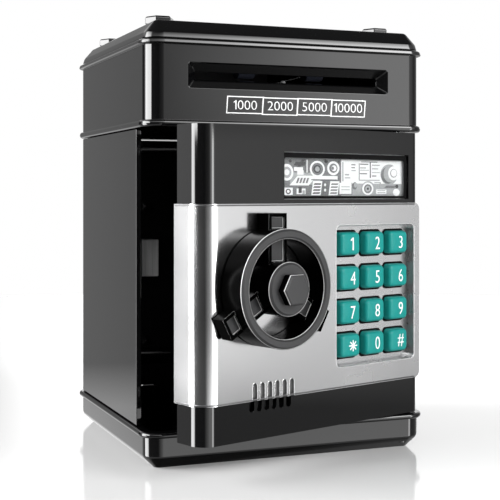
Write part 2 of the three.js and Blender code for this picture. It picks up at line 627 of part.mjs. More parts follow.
function doorBackCover() {
  const m = BACK_COVER.margin;
  const { wall, left, right, bottom, top } = DOOR;
  const ys = [BACK_COVER.inner, BACK_COVER.outer];
  const plate = block([left + wall + m, right - wall - m], ys, [bottom + wall + m, top - wall - m]);
  const through = [ys[0] - 1, ys[1] + 1];
  const screwHoles = SCREW_POSTS.map(([x, z]) => rod("y", 1.5, [x, z], through, 12));
  const driveHole = rod("y", 4.2, [KNOB.x, KNOB.z], through);
  const louvres = Array.from({ length: LOUVRES.count }, (_, i) => {
    const z = LOUVRES.firstZ + i * LOUVRES.pitch;
    return block(LOUVRES.x, through, [z, z + LOUVRES.height]);
  });
  const hingeRelief = block([HINGE_RELIEF.left, right], through, [bottom, HINGE_RELIEF.top]);
  return cut(plate, driveHole, hingeRelief, ...screwHoles, ...louvres);
}

// A plate behind the keypad tray, as wide and tall as the tray's recess less an edge.
function padPlate(y) {
  const { inset } = BOARD;
  return block([PAD.left + inset, PAD.right - inset], y, [PAD.bottom + inset, PAD.top - inset]);
}

function keypadSheet() {
  const dome = ([x, z]) => rod("y", SHEET.domeR, [x, z], [SHEET.domeFront, SHEET.front + 0.2], 12);
  const domes = KEY_ROWS.flatMap((z) => KEY_COLUMNS.map((x) => dome([x, z])));
  return join(padPlate([SHEET.front, SHEET.back]), ...domes);
}

function circuitBoard() {
  const seat = BOARD.back - 0.1;
  const chips = CHIPS.map(({ x, rear, z }) => block(x, [seat, rear], z));
  const capacitors = CAPACITORS.at.map((at) => rod("y", CAPACITORS.r, at, [seat, CAPACITORS.rear], 12));
  return join(padPlate([BOARD.front, BOARD.back]), ...chips, ...capacitors);
}

function speaker() {
  const { rimR, basketR, magnetR } = SPEAKER;
  const { front, rimBack, basketBack, back } = SPEAKER_DEPTHS;
  const at = [VENT.firstX + (VENT.pitch * (VENT.count - 1)) / 2, SPEAKER.z];
  const rim = rod("y", rimR, at, [front, rimBack], 32);
  const basket = rod("y", basketR, at, [rimBack - 0.1, basketBack], 24);
  const magnet = rod("y", magnetR, at, [basketBack - 0.1, back], 24);
  const cone = rod("y", basketR, at, [front - 0.3, front + 0.7], 24);
  return cut(join(rim, basket, magnet), cone);
}

function solenoid() {
  const x = [KNOB.x - SOLENOID.halfX, KNOB.x + SOLENOID.halfX];
  const body = block(x, [SOLENOID.y0, SOLENOID.y1], [SOLENOID.bottom, SOLENOID.top]);
  return cut(body, rod("z", PLUNGER.r + 0.3, [KNOB.x, PLUNGER.y], [PLUNGER.tail - 0.5, SOLENOID.top + 1]));
}

function latchHousing() {
  const { left, right, y0, y1, bottom, top, wall } = LATCH_BOX;
  const box = block([left, right], [y0, y1], [bottom, top]);
  const inside = block([left + wall, right - wall], [y0 - 1, y1 - wall], [bottom + wall, top - wall]);
  const slide = 0.4; // play round the bolt
  const mouth = block(
    [left - 1, left + wall + 1],
    [LATCH.y0 - slide, LATCH.y1 + slide],
    [LATCH_MOUTH_BOTTOM, LATCH.top + slide],
  );
  return cut(box, inside, mouth);
}

function latchBolt() {
  const pitchLine = KNOB.z + (LATCH.pinionTeeth * LATCH.module) / 2;
  const root = pitchLine + TOOTH.dedendum * LATCH.module;
  const bar = block([LATCH.tip, LATCH.tail], [LATCH.y0, LATCH.y1], [root, LATCH.top]);
  const pitch = Math.PI * LATCH.module;
  const toothTip = pitchLine - TOOTH.addendum * LATCH.module;
  const teeth = [];
  for (let i = -2; i <= 4; i++) {
    const x = KNOB.x + (i + 0.5) * pitch;
    if (x + 1 > LATCH.tail) break;
    const flank = new THREE.Shape();
    flank.moveTo(x - 0.3 * pitch, root + 0.1);
    flank.lineTo(x - 0.1 * pitch, toothTip);
    flank.lineTo(x + 0.1 * pitch, toothTip);
    flank.lineTo(x + 0.3 * pitch, root + 0.1);
    flank.closePath();
    const tooth = prism(flank, [0, LATCH.y1 - LATCH.y0]);
    teeth.push(tooth.rotate([90, 0, 0]).translate([0, LATCH.y1, 0]));
  }
  return join(bar, ...teeth);
}

function windowLens() {
  const x = [WINDOW.left + GAP, WINDOW.right - GAP];
  return block(x, [-4.9, -3.56], [WINDOW.bottom + GAP, WINDOW.top - GAP]);
}

function windowCard() {
  return block([WINDOW.left - 2.2, WINDOW.right + 2], [-3.26, -2.1], [WINDOW.bottom - 1.3, WINDOW.top + 0.9]);
}

// Key in its own frame: x right, y up, z outwards, centred on its hole.
function keyCap() {
  const outward = KNOB_PLANE_Y - KEY.front;
  const flangeBack = KNOB_PLANE_Y - KEY_FLANGE.back;
  const flangeFront = KNOB_PLANE_Y - KEY_FLANGE.front;
  const wide = [KEY.halfX + KEY_FLANGE.growX, KEY.halfZ + KEY_FLANGE.growZ, KEY.cornerR];
  return stack(
    [
      [flangeBack, ...wide],
      [flangeFront, ...wide],
      [flangeFront, KEY.halfX, KEY.halfZ, KEY.cornerR],
      [outward - 0.9, KEY.halfX, KEY.halfZ, KEY.cornerR],
      [outward - 0.25, KEY.halfX - 0.3, KEY.halfZ - 0.3, KEY.cornerR - 0.2],
      [outward, KEY.halfX - 0.9, KEY.halfZ - 0.9, KEY.cornerR - 0.6],
    ],
    3,
  );
}

// ---------- hand wheel ----------
function lathe(points, segments) {
  const profile = [...points, points[0]].map(([r, z]) => new THREE.Vector2(r, z));
  return toSolid(new THREE.LatheGeometry(profile, segments).rotateX(Math.PI / 2));
}

function lugArm(angle) {
  const half = LUG.width / 2;
  const pocketHalf = half - LUG.rib;
  const pocketZ = [LUG.front - LUG.pocketDepth, LUG.front + 1];
  const arm = block([WHEEL.hubR - 2, LUG.tipR], [-half, half], [WHEEL.back, LUG.front]);
  const innerPocket = block([WHEEL.hubR, WHEEL.innerR], [-pocketHalf, pocketHalf], pocketZ);
  const outerPocket = block([WHEEL.outerR, LUG.tipR - LUG.rib], [-pocketHalf, pocketHalf], pocketZ);
  return cut(arm, innerPocket, outerPocket).rotate([0, 0, angle]);
}

function knobWheel() {
  const { back, front, outerR, innerR, hubR, hubFront } = WHEEL;
  const rim = lathe(
    [[innerR, back], [outerR, back], [outerR, front - 1], [outerR - 1, front], [innerR + 0.8, front],
      [innerR, front - 0.8]],
    60,
  );
  const hubShape = [[0, back], [hubR, back], [hubR, hubFront - 1], [hubR - 1, hubFront], [0, hubFront]];
  const hub = toSolid(
    new THREE.LatheGeometry(hubShape.map(([r, z]) => new THREE.Vector2(r, z)), 36).rotateX(Math.PI / 2),
  );
  const arms = [90, 210, 330].map(lugArm);
  const shaft = rod("z", DRIVE.roundR, [0, 0], [DRIVE.squareStart, back + 1]);
  const side = DRIVE.square / 2;
  const drive = block([-side, side], [-side, side], [DRIVE.end, DRIVE.squareStart + 0.5]);
  const bore = rod("z", HEX_BOLT.boreR, [0, 0], [HEX_BOLT.boreEnd, hubFront + 1], 16);
  return cut(join(rim, hub, ...arms, shaft, drive), bore);
}

function knobHexBolt() {
  const headBack = WHEEL.hubFront + GAP;
  const headFront = HEX_BOLT.front;
  const r = HEX_BOLT.acrossFlats / Math.sqrt(3);
  const side = [[0, headBack], [r, headBack], [r, headFront - 0.7], [r - 0.8, headFront], [0, headFront]];
  const profile = side.map(([x, y]) => new THREE.Vector2(x, y));
  // Two of the head's flats are level, so two of its corners lie on the x axis.
  const head = toSolid(new THREE.LatheGeometry(profile, 6).rotateX(Math.PI / 2).rotateZ(Math.PI / 2));
  return join(head, rod("z", HEX_BOLT.shankR, [0, 0], [HEX_BOLT.shankEnd, headBack + 0.5], 16));
}

const squareHole = ([z0, z1]) => {
  const side = DRIVE.square / 2 + DRIVE.fit;
  return block([-side, side], [-side, side], [z0, z1]);
};

function knobCam() {
  const z = [KNOB_PLANE_Y - CAM.y1, KNOB_PLANE_Y - CAM.y0];
  const disc = rod("z", CAM.r, [0, 0], z, 36);
  const reach = [z[0] - 1, z[1] + 1];
  // One notch faces down at rest, and the other faces down once the wheel has thrown the bolt.
  const down = block([-CAM.notchHalf, CAM.notchHalf], [-CAM.r - 1, -CAM.notchR], reach);
  const sideways = block([-CAM.r - 1, -CAM.notchR], [-CAM.notchHalf, CAM.notchHalf], reach);
  return cut(disc, squareHole(reach), down, sideways);
}

function knobPinion() {
  const z = [KNOB_PLANE_Y - LATCH.y1 - 0.1, KNOB_PLANE_Y - LATCH.y0 + 0.1];
  const quarter = 90;
  const disc = prism(gearShape(LATCH.pinionTeeth, LATCH.module), z).rotate([0, 0, quarter]);
  return cut(disc, squareHole([z[0] - 1, z[1] + 1]));
}

// ---------- assembly ----------
function addCabinet(bank) {
  const pitchSum = ((FEED_GEAR.teeth + PINION_TEETH) * FEED_GEAR.module) / 2 + 0.1;
  const motorY = FEED.y + Math.sqrt(pitchSum ** 2 - (FEED.z - MOTOR.z) ** 2);
  const motorAngle = Math.atan2(MOTOR.z - FEED.z, motorY - FEED.y);

  addPiece(bank, "base_plinth", basePlinth(), FINISH.blackGloss);
  addPiece(bank, "main_shell", mainShell(), FINISH.blackGloss);
  addPiece(bank, "head_housing", headHousing(), FINISH.blackGloss);
  addPiece(bank, "top_lid", topLid(), FINISH.blackGloss);
  for (const [depthName, y] of [["front", LID_BOLT.frontY], ["rear", LID_BOLT.rearY]]) {
    for (const [sideName, sx] of [["left", -1], ["right", 1]]) {
      const bolt = addPiece(bank, `lid_bolt_${depthName}_${sideName}`, lidBolt(), FINISH.blackGloss);
      bolt.position.set(sx * LID_BOLT.x, y, LID.top + GAP);
    }
  }
  addPiece(bank, "strike_plate", strikePlate(), FINISH.greyPlastic);
  addPiece(bank, "coin_chute", coinChute(), FINISH.greyPlastic);
  addPiece(bank, "note_guide", noteGuide(motorY), FINISH.blackSatin);
  const sensorZ = [GUIDE.plateTop + GAP, BILL_SENSOR.top];
  addPiece(bank, "bill_sensor", rod("z", BILL_SENSOR.r, [0, BILL_SENSOR.y], sensorZ, 16), FINISH.clear);
  addPiece(bank, "feed_motor", feedMotor(motorY), FINISH.steel);

  const feedEnd = FEED_GEAR.x + FEED_GEAR.width;
  const feedAt = [FEED.y, FEED.z];
  addPiece(bank, "feed_shaft", rod("x", FEED.shaftR, feedAt, [-50, feedEnd + 1], 16), FINISH.steel);
  addPiece(bank, "feed_wheel_left", feedWheel(-FEED.wheelX), FINISH.rubber);
  addPiece(bank, "feed_wheel_right", feedWheel(FEED.wheelX), FINISH.rubber);
  addPiece(bank, "idler_roller", idlerRoller(), FINISH.rubber);

  const gearX = [FEED_GEAR.x, feedEnd];
  const gear = gearAboutX(FEED_GEAR.teeth, FEED_GEAR.module, gearX, FEED.shaftR + GAP, motorAngle);
  addPiece(bank, "feed_gear", gear, FINISH.whitePlastic).position.set(0, FEED.y, FEED.z);
  const halfTooth = Math.PI / PINION_TEETH;
  const gapAngle = motorAngle + Math.PI + halfTooth;
  const pinion = gearAboutX(PINION_TEETH, FEED_GEAR.module, gearX, MOTOR.shaftR + GAP, gapAngle);
  addPiece(bank, "motor_pinion", pinion, FINISH.whitePlastic).position.set(0, motorY, MOTOR.z);

  addPiece(bank, "battery_cover", batteryCover(), FINISH.blackSatin);
  const coverScrew = addPiece(bank, "battery_cover_screw", screw(COVER_SCREW), FINISH.steel);
  coverScrew.position.set(COVER_TAB.screwX, COVER_TAB.screwY, COVER_SCREW.z);
  for (const row of [0, 1, 2]) addPiece(bank, `battery_${row + 1}`, battery(row), FINISH.cell);
  addPiece(bank, "battery_contact_left", batteryContact(-1), FINISH.steel);
  addPiece(bank, "battery_contact_right", batteryContact(1), FINISH.steel);

  const hingeAt = [HINGE.x, HINGE.y];
  addPiece(bank, "hinge_pin_lower", rod("z", HINGE.pinR, hingeAt, HINGE_PIN_ENDS.lower, 20), FINISH.steel);
  addPiece(bank, "hinge_pin_upper", rod("z", HINGE.pinR, hingeAt, HINGE_PIN_ENDS.upper, 20), FINISH.steel);
}

function addDoor(bank) {
  const door = new THREE.Group();
  door.position.set(HINGE.x, HINGE.y, 0);
  door.rotation.z = THREE.MathUtils.degToRad(DOOR_AJAR_DEG);
  bank.add(door);
  addPiece(door, "door_shell", doorShell(), FINISH.blackGloss);
  addPiece(door, "faceplate", faceplate(), FINISH.silver);
  addPiece(door, "door_back_cover", doorBackCover(), FINISH.blackSatin);
  addPiece(door, "window_lens", windowLens(), FINISH.clear);
  addPiece(door, "window_card", windowCard(), FINISH.print);
  addPiece(door, "keypad_sheet", keypadSheet(), FINISH.greyPlastic);
  addPiece(door, "circuit_board", circuitBoard(), FINISH.board);
  addPiece(door, "speaker", speaker(), FINISH.steel);
  addPiece(door, "solenoid", solenoid(), FINISH.copper);
  addPiece(door, "latch_housing", latchHousing(), FINISH.blackSatin);
  addPiece(door, "latch_bolt", latchBolt(), FINISH.steel);
  const plungerAt = [KNOB.x, PLUNGER.y];
  addPiece(door, "lock_plunger", rod("z", PLUNGER.r, plungerAt, [PLUNGER.tail, PLUNGER.tip], 20), FINISH.steel);

  SCREW_POSTS.forEach(([x, z], i) => {
    const fastener = addPiece(door, `door_screw_${i + 1}`, screw(DOOR_SCREW), FINISH.steel);
    fastener.position.set(x, BACK_COVER.outer + GAP + DOOR_SCREW.head, z);
    fastener.rotation.x = Math.PI / 2;
  });

  KEY_NAMES.forEach((names, row) =>
    names.forEach((name, column) => {
      const key = addPiece(door, name, keyCap(), FINISH.teal);
      key.position.set(KEY_COLUMNS[column], KNOB_PLANE_Y, KEY_ROWS[row]);
      key.rotation.x = Math.PI / 2;
    }),
  );

  // The knob's own frame: x right, y up, z outwards.
  const knob = new THREE.Group();
  knob.position.set(KNOB.x, KNOB_PLANE_Y, KNOB.z);
  knob.rotation.x = Math.PI / 2;
  door.add(knob);
  addPiece(knob, "knob_wheel", knobWheel(), FINISH.blackGloss);
  addPiece(knob, "knob_hex_bolt", knobHexBolt(), FINISH.blackGloss);
  addPiece(knob, "knob_cam", knobCam(), FINISH.whitePlastic);
  addPiece(knob, "knob_pinion", knobPinion(), FINISH.whitePlastic);
}

const bank = new THREE.Group();
addCabinet(bank);
addDoor(bank);

export default bank;
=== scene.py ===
"""Looks of a toy savings bank shaped like a cash machine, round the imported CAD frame. Metres, +Z up."""

import json
import math

import bmesh
import bpy
from mathutils import Matrix, Vector


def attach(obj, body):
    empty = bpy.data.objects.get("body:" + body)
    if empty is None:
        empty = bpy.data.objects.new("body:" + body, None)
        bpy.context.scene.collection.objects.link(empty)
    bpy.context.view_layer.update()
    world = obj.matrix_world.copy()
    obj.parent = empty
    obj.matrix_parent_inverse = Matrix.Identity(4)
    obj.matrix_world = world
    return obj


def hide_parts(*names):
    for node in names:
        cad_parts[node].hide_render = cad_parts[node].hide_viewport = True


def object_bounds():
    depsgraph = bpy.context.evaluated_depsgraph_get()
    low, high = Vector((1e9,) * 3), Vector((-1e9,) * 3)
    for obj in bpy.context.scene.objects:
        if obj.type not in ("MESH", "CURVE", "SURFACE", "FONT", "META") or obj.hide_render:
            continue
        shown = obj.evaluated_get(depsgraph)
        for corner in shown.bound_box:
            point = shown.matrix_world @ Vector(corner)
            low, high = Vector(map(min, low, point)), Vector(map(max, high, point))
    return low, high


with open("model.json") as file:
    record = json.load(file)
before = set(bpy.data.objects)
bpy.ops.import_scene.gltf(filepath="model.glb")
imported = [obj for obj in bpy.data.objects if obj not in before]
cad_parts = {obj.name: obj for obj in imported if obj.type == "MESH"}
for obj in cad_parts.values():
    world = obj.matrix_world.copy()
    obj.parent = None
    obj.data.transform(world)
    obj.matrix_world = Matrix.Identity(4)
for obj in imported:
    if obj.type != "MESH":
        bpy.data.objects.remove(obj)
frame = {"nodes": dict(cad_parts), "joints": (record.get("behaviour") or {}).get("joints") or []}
CAD_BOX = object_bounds()
MM = 0.001


# ---- the frame's own places

def joint_named(name):
    """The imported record's row for one joint."""
    return next(j for j in frame["joints"] if j["name"] == name)


HINGE = joint_named("door_hinge")
# Door space: origin on the hinge axis, x along the shut door, y into the bank, as if the door were shut.
DOOR = (Matrix.Translation(Vector((HINGE["pos_m"][0], HINGE["pos_m"][1], 0)))
        @ Matrix.Rotation(-math.radians(HINGE["range_deg"][0]), 4, "Z"))


def door_points(node):
    """The vertices of a CAD node, in door space."""
    inside = DOOR.inverted()
    return [inside @ v.co for v in frame["nodes"][node].data.vertices]


def corners(node):
    """Lowest and highest corner of a CAD node, in door space."""
    points = door_points(node)
    low = Vector([min(p[axis] for p in points) for axis in range(3)])
    high = Vector([max(p[axis] for p in points) for axis in range(3)])
    return low, high


def depths(node):
    """The distinct depths at which a CAD node has vertices in door space, front first."""
    return sorted({round(p.y, 5) for p in door_points(node)})


# ---- materials

def nodes_of(name):
    """A new material with its node tree and principled shader."""
    made = bpy.data.materials.new(name)
    made.use_nodes = True
    tree = made.node_tree
    return made, tree, tree.nodes["Principled BSDF"]


def noise(tree, scale, detail=3.0, stretch=(1, 1, 1)):
    """A noise texture in the piece's own space; scale counts features per metre."""
    place = tree.nodes.new("ShaderNodeTexCoord")
    mapping = tree.nodes.new("ShaderNodeMapping")
    mapping.inputs["Scale"].default_value = stretch
    texture = tree.nodes.new("ShaderNodeTexNoise")
    texture.inputs["Scale"].default_value = scale
    texture.inputs["Detail"].default_value = detail
    tree.links.new(place.outputs["Object"], mapping.inputs["Vector"])
    tree.links.new(mapping.outputs["Vector"], texture.inputs["Vector"])
    return texture.outputs["Fac"]


def ramp(tree, source, low, high, start=0.3, end=0.7):
    """Maps a 0 to 1 value onto the range low to high."""
    node = tree.nodes.new("ShaderNodeMapRange")
    node.inputs["From Min"].default_value = start
    node.inputs["From Max"].default_value = end
    node.inputs["To Min"].default_value = low
    node.inputs["To Max"].default_value = high
    tree.links.new(source, node.inputs["Value"])
    return node.outputs["Result"]


def tint(tree, source, dark, light):
    """Mixes two colours by a 0 to 1 value."""
    node = tree.nodes.new("ShaderNodeMix")
    node.data_type = "RGBA"
    node.inputs["A"].default_value = (*dark, 1)
    node.inputs["B"].default_value = (*light, 1)
    tree.links.new(source, node.inputs["Factor"])
    return node.outputs["Result"]


def bump(tree, shader, source, depth, strength=1.0):
    """Raises the surface by up to depth metres."""
    node = tree.nodes.new("ShaderNodeBump")
    node.inputs["Distance"].default_value = depth
    node.inputs["Strength"].default_value = strength
    tree.links.new(source, node.inputs["Height"])
    tree.links.new(node.outputs["Normal"], shader.inputs["Normal"])


def coating(name, dark, light, rough, grain, depth, metallic=0.0, smudge=55.0, **sockets):
    """A moulded, painted or metal surface whose colour and roughness drift between two values."""
    made, tree, shader = nodes_of(name)
    broad = noise(tree, smudge, 4.0)
    fine = noise(tree, grain, 2.0)
    mixed = ramp(tree, broad if depth == 0 else fine, 0, 1, 0.25, 0.75)
    tree.links.new(tint(tree, mixed, dark, light), shader.inputs["Base Color"])
    tree.links.new(ramp(tree, broad, rough[0], rough[1]), shader.inputs["Roughness"])
    shader.inputs["Metallic"].default_value = metallic
    for socket, value in sockets.items():
        shader.inputs[socket.replace("_", " ")].default_value = value
    if depth:
        bump(tree, shader, fine, depth)
    return made


def maths(tree, operation, first, second=None):
    """One step of arithmetic on numbers or sockets."""
    node = tree.nodes.new("ShaderNodeMath")
    node.operation = operation
    for index, value in enumerate((first, second)):
        if value is None:
            continue
        if isinstance(value, (int, float)):
            node.inputs[index].default_value = value
        else:
            tree.links.new(value, node.inputs[index])
    return node.outputs["Value"]


def measured_along(tree, output, direction, start, end):
    """0 to 1 as a piece's normal or point, by output name, grows from start to end along a direction."""
    place = tree.nodes.new("ShaderNodeTexCoord")
    dot = tree.nodes.new("ShaderNodeVectorMath")
    dot.operation = "DOT_PRODUCT"
    dot.inputs[1].default_value = direction
    tree.links.new(place.outputs[output], dot.inputs[0])
    return ramp(tree, dot.outputs["Value"], 0, 1, start, end)


def facing(tree, direction, start, end):
    """0 to 1 as a surface turns to face a direction; start and end are cosines."""
    return measured_along(tree, "Normal", direction, start, end)


def ahead_of(tree, direction, start, end):
    """0 to 1 as a point lies further along a direction; start and end are distances in metres."""
    return measured_along(tree, "Object", direction, start, end)


def layered(tree, share, below, above):
    """One colour over another by a 0 to 1 share."""
    node = tree.nodes.new("ShaderNodeMix")
    node.data_type = "RGBA"
    tree.links.new(share, node.inputs["Factor"])
    tree.links.new(below, node.inputs["A"])
    tree.links.new(above, node.inputs["B"])
    return node.outputs["Result"]


KNOB_FLAT = (0.56, 0.64)  # cosines to the front between which the satin of the flats sets in
KNOB_HIGHLIGHT_BAND = (0.20, 0.30)  # cosines to the front between which the painted highlight line sets in
KNOB_LIT_SIDE = (0.0, 0.5)  # cosines to the lit side, up to the left, between which the painted highlight line grows
KNOB_FADE = 1 * MM
KNOB_ROUGH = (0.16, 0.46)  # sides, flats
KNOB_SHEEN = (0.012, 0.45)  # sides, flats


def knob_satin_with_painted_highlight(name, direction, lit_side, behind):
    """Satin on the flats that face forward, with a painted highlight beside them: a pale line on the side
    where light falls.

    The sides, and whatever lies further back than a distance along the direction, are near black.
    """
    made, tree, shader = nodes_of(name)
    grain = ramp(tree, noise(tree, 4200), 0, 1)
    flat = facing(tree, direction, *KNOB_FLAT)
    ahead = ahead_of(tree, direction, behind, behind + KNOB_FADE)
    front = maths(tree, "MULTIPLY", flat, ahead)
    # Painted highlight: a pale line on the rounded edges that turn towards the lit side.
    highlight_share = maths(tree, "MULTIPLY", facing(tree, direction, *KNOB_HIGHLIGHT_BAND),
                 facing(tree, lit_side, *KNOB_LIT_SIDE))
    satin = tint(tree, grain, (0.022, 0.022, 0.023), (0.031, 0.031, 0.032))
    # edge is the pale tone of the painted highlight.
    edge = tint(tree, grain, (0.55, 0.55, 0.55), (0.70, 0.70, 0.70))
    side = tint(tree, grain, (0.0004, 0.0004, 0.0004), (0.0010, 0.0010, 0.0010))
    rounded = layered(tree, highlight_share, side, edge)
    whole = layered(tree, flat, rounded, layered(tree, ahead, side, satin))
    tree.links.new(whole, shader.inputs["Base Color"])
    tree.links.new(ramp(tree, front, *KNOB_ROUGH, 0, 1), shader.inputs["Roughness"])
    tree.links.new(ramp(tree, front, *KNOB_SHEEN, 0, 1), shader.inputs["Specular IOR Level"])
    return made


HIGHLIGHT_TURN = (-0.1, 0.75)  # cosines to the lit side between which the painted highlight line turns pale
HIGHLIGHT_ROUGH = 0.35


def painted_highlight_line(name, direction):
    """Black plastic with a painted highlight: its edges turn pale on the side that faces a direction, where
    light falls.
    """
    made, tree, shader = nodes_of(name)
    grain = ramp(tree, noise(tree, 2600), 0, 1)
    share = facing(tree, direction, *HIGHLIGHT_TURN)
    dark = tint(tree, grain, (0.004, 0.004, 0.004), (0.010, 0.010, 0.010))
    pale = tint(tree, grain, (0.62, 0.62, 0.62), (0.78, 0.78, 0.78))
    tree.links.new(layered(tree, share, dark, pale), shader.inputs["Base Color"])
    shader.inputs["Roughness"].default_value = HIGHLIGHT_ROUGH
    return made


METAL_LINES = {"across": 900, "along": 40, "depth": 0.01 * MM, "strength": 0.4}


def brushed_metal(name, dark, light, rough, along):
    """Metal with fine lines along one axis."""
    made, tree, shader = nodes_of(name)
    stretch = [METAL_LINES["across"]] * 3
    stretch[along] = METAL_LINES["along"]
    lines = noise(tree, 1.0, 2.0, stretch)
    tree.links.new(tint(tree, ramp(tree, lines, 0, 1), dark, light), shader.inputs["Base Color"])
    tree.links.new(ramp(tree, lines, rough[0], rough[1]), shader.inputs["Roughness"])
    shader.inputs["Metallic"].default_value = 1.0
    bump(tree, shader, lines, METAL_LINES["depth"], METAL_LINES["strength"])
    return made


def board_green(name):
    """Green circuit board: darker solder mask over straight copper runs."""
    made, tree, shader = nodes_of(name)
    place = tree.nodes.new("ShaderNodeTexCoord")
    bricks = tree.nodes.new("ShaderNodeTexBrick")
    bricks.inputs["Scale"].default_value = 160
    bricks.inputs["Color1"].default_value = (0.01, 0.11, 0.04, 1)
    bricks.inputs["Color2"].default_value = (0.012, 0.15, 0.05, 1)
    bricks.inputs["Mortar"].default_value = (0.03, 0.26, 0.08, 1)
    bricks.inputs["Mortar Size"].default_value = 0.03
    tree.links.new(place.outputs["Object"], bricks.inputs["Vector"])
    tree.links.new(bricks.outputs["Color"], shader.inputs["Base Color"])
    tree.links.new(ramp(tree, noise(tree, 300), 0.3, 0.45), shader.inputs["Roughness"])
    return made


def clear_sheet(name):
    """Clear acrylic with faint waviness."""
    made, tree, shader = nodes_of(name)
    shader.inputs["Base Color"].default_value = (0.97, 0.98, 0.98, 1)
    shader.inputs["Transmission Weight"].default_value = 1.0
    shader.inputs["IOR"].default_value = 1.2
    shader.inputs["Specular IOR Level"].default_value = 0.15
    tree.links.new(ramp(tree, noise(tree, 90), 0.02, 0.05), shader.inputs["Roughness"])
    return made


def rougher_towards(material, start, end, extra):
    """Adds roughness to a material from one x position at rest to another."""
    tree = material.node_tree
    socket = tree.nodes["Principled BSDF"].inputs["Roughness"]
    place = tree.nodes.new("ShaderNodeTexCoord")
    split = tree.nodes.new("ShaderNodeSeparateXYZ")
    tree.links.new(place.outputs["Object"], split.inputs["Vector"])
    rise = ramp(tree, split.outputs["X"], 0, extra, start, end)
    tree.links.new(maths(tree, "ADD", socket.links[0].from_socket, rise), socket)


LOOK = {
    "black_gloss_plastic": coating(
        "black_gloss", (0.0012, 0.0012, 0.0013), (0.0022, 0.0022, 0.0024), (0.025, 0.05), 2600,
        0.0000007),
    "black_satin_plastic": coating(
        "black_satin", (0.010, 0.010, 0.011), (0.016, 0.016, 0.017), (0.36, 0.48), 3800, 0.000006),
    "silver_paint": coating(
        "silver_paint", (0.58, 0.58, 0.585), (0.66, 0.66, 0.665), (0.135, 0.165), 5200, 0.000002,
        metallic=1.0),
    "teal_key_plastic": coating(
        "teal_plastic", (0.004, 0.215, 0.195), (0.007, 0.255, 0.232), (0.34, 0.42), 3200, 0.000002,
        Specular_IOR_Level=0.25),
    "clear_window": clear_sheet("clear_acrylic"),
    "window_print": coating(
        "window_card_print", (0.62, 0.63, 0.64), (0.70, 0.705, 0.71), (0.4, 0.5), 420, 0),
    "roller_rubber": coating(
        "roller_rubber", (0.018, 0.021, 0.034), (0.03, 0.035, 0.052), (0.5, 0.65), 3000, 0.00001),
    "steel": brushed_metal("brushed_steel", (0.42, 0.42, 0.43), (0.62, 0.62, 0.63), (0.22, 0.36), 2),
    "grey_plastic": coating(
        "grey_plastic", (0.52, 0.50, 0.50), (0.60, 0.575, 0.575), (0.42, 0.55), 3000, 0.000004),
    "white_plastic": coating(
        "white_plastic", (0.66, 0.66, 0.64), (0.76, 0.76, 0.74), (0.35, 0.45), 2400, 0.000003),
    "circuit_green": board_green("circuit_board_green"),
    "cell_wrap": coating(
        "cell_wrap_film", (0.02, 0.05, 0.13), (0.035, 0.08, 0.19), (0.2, 0.3), 900, 0.000003),
    "copper_coil": brushed_metal("copper_winding", (0.55, 0.22, 0.09), (0.8, 0.38, 0.17), (0.25, 0.4), 0),
}
# The silver plate's sheen softens from left to right, towards the keypad; x positions are those at rest.
SOFTER_FROM = -30 * MM
SOFTER_TO = 20 * MM
SOFTER_BY = 0.12
rougher_towards(LOOK["silver_paint"], SOFTER_FROM, SOFTER_TO, SOFTER_BY)
# Directions in the frame at rest: out of the door, and up to the left of it; the knob's painted highlights
# face up to the left.
FORWARD = DOOR.to_3x3() @ Vector((0, -1, 0))
UP_LEFT = DOOR.to_3x3() @ Vector((-0.7, -0.14, 0.7))
HUB_FRONT = max(FORWARD.dot(v.co) for v in frame["nodes"]["knob_wheel"].data.vertices)
ARM_TO_RIM = 5 * MM  # from the hub's front back to between the arms' faces and the rim's face
# The knob's material carries a painted highlight on its up-left edges.
KNOB_LOOK_WITH_HIGHLIGHT = knob_satin_with_painted_highlight("knob_satin_black_painted_highlight", FORWARD, UP_LEFT, HUB_FRONT - ARM_TO_RIM)
# Painted highlight: the pale lines along the knob's edges and round its arm panels.
HIGHLIGHT_LINE_LOOK = painted_highlight_line("knob_painted_highlight_edge", UP_LEFT)
# Painted shade: dead black for the collars round the keys; also the window's border.
DEAD_BLACK = coating(
    "dead_black_shade_and_border", (0.0006, 0.0006, 0.0006), (0.0016, 0.0016, 0.0017), (0.6, 0.7), 2500, 0.000002,
    Specular_IOR_Level=0.1)
SILVER_EDGE = coating(
    "silver_rounded_edge", (0.50, 0.50, 0.505), (0.58, 0.58, 0.585), (0.42, 0.5), 4200, 0.000002,
    metallic=1.0)
# Painted shade: the rails along the plate's top and bottom edges are dark grey.
RAIL_SHADE_LOOK = coating(
    "plate_shaded_edge", (0.11, 0.11, 0.112), (0.15, 0.15, 0.152), (0.3, 0.4), 4200, 0.000002, metallic=1.0)
DULL_STEEL = brushed_metal("dull_steel", (0.09, 0.09, 0.092), (0.15, 0.15, 0.152), (0.4, 0.5), 2)
# Painted shade: flat grey for the shaded silver walls inside the vents.
VENT_SHADE_GREY = coating("vent_painted_shade_grey", (0.10, 0.10, 0.10), (0.15, 0.15, 0.15), (0.3, 0.4), 1500, 0.000002)
INK = {
    "white": coating("white_ink", (0.78, 0.78, 0.78), (0.9, 0.9, 0.9), (0.35, 0.5), 5000, 0.000001),
    "pale": coating("pale_grey_ink", (0.33, 0.335, 0.34), (0.41, 0.415, 0.42), (0.4, 0.5), 900, 0.000001),
    "mid": coating("mid_grey_ink", (0.13, 0.132, 0.135), (0.19, 0.192, 0.195), (0.4, 0.5), 900, 0.000001),
    "dark": coating("dark_grey_ink", (0.02, 0.02, 0.022), (0.05, 0.05, 0.052), (0.4, 0.5), 900, 0.000001),
}


# ---- mesh tools

def put(name, mesh, body, material, stands_for=()):
    """Adds a finished mesh as a piece on one body."""
    thing = bpy.data.objects.new(name, mesh)
    bpy.context.scene.collection.objects.link(thing)
    mesh.materials.clear()
    mesh.materials.append(material)
    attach(thing, body)
    if stands_for:
        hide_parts(*stands_for)


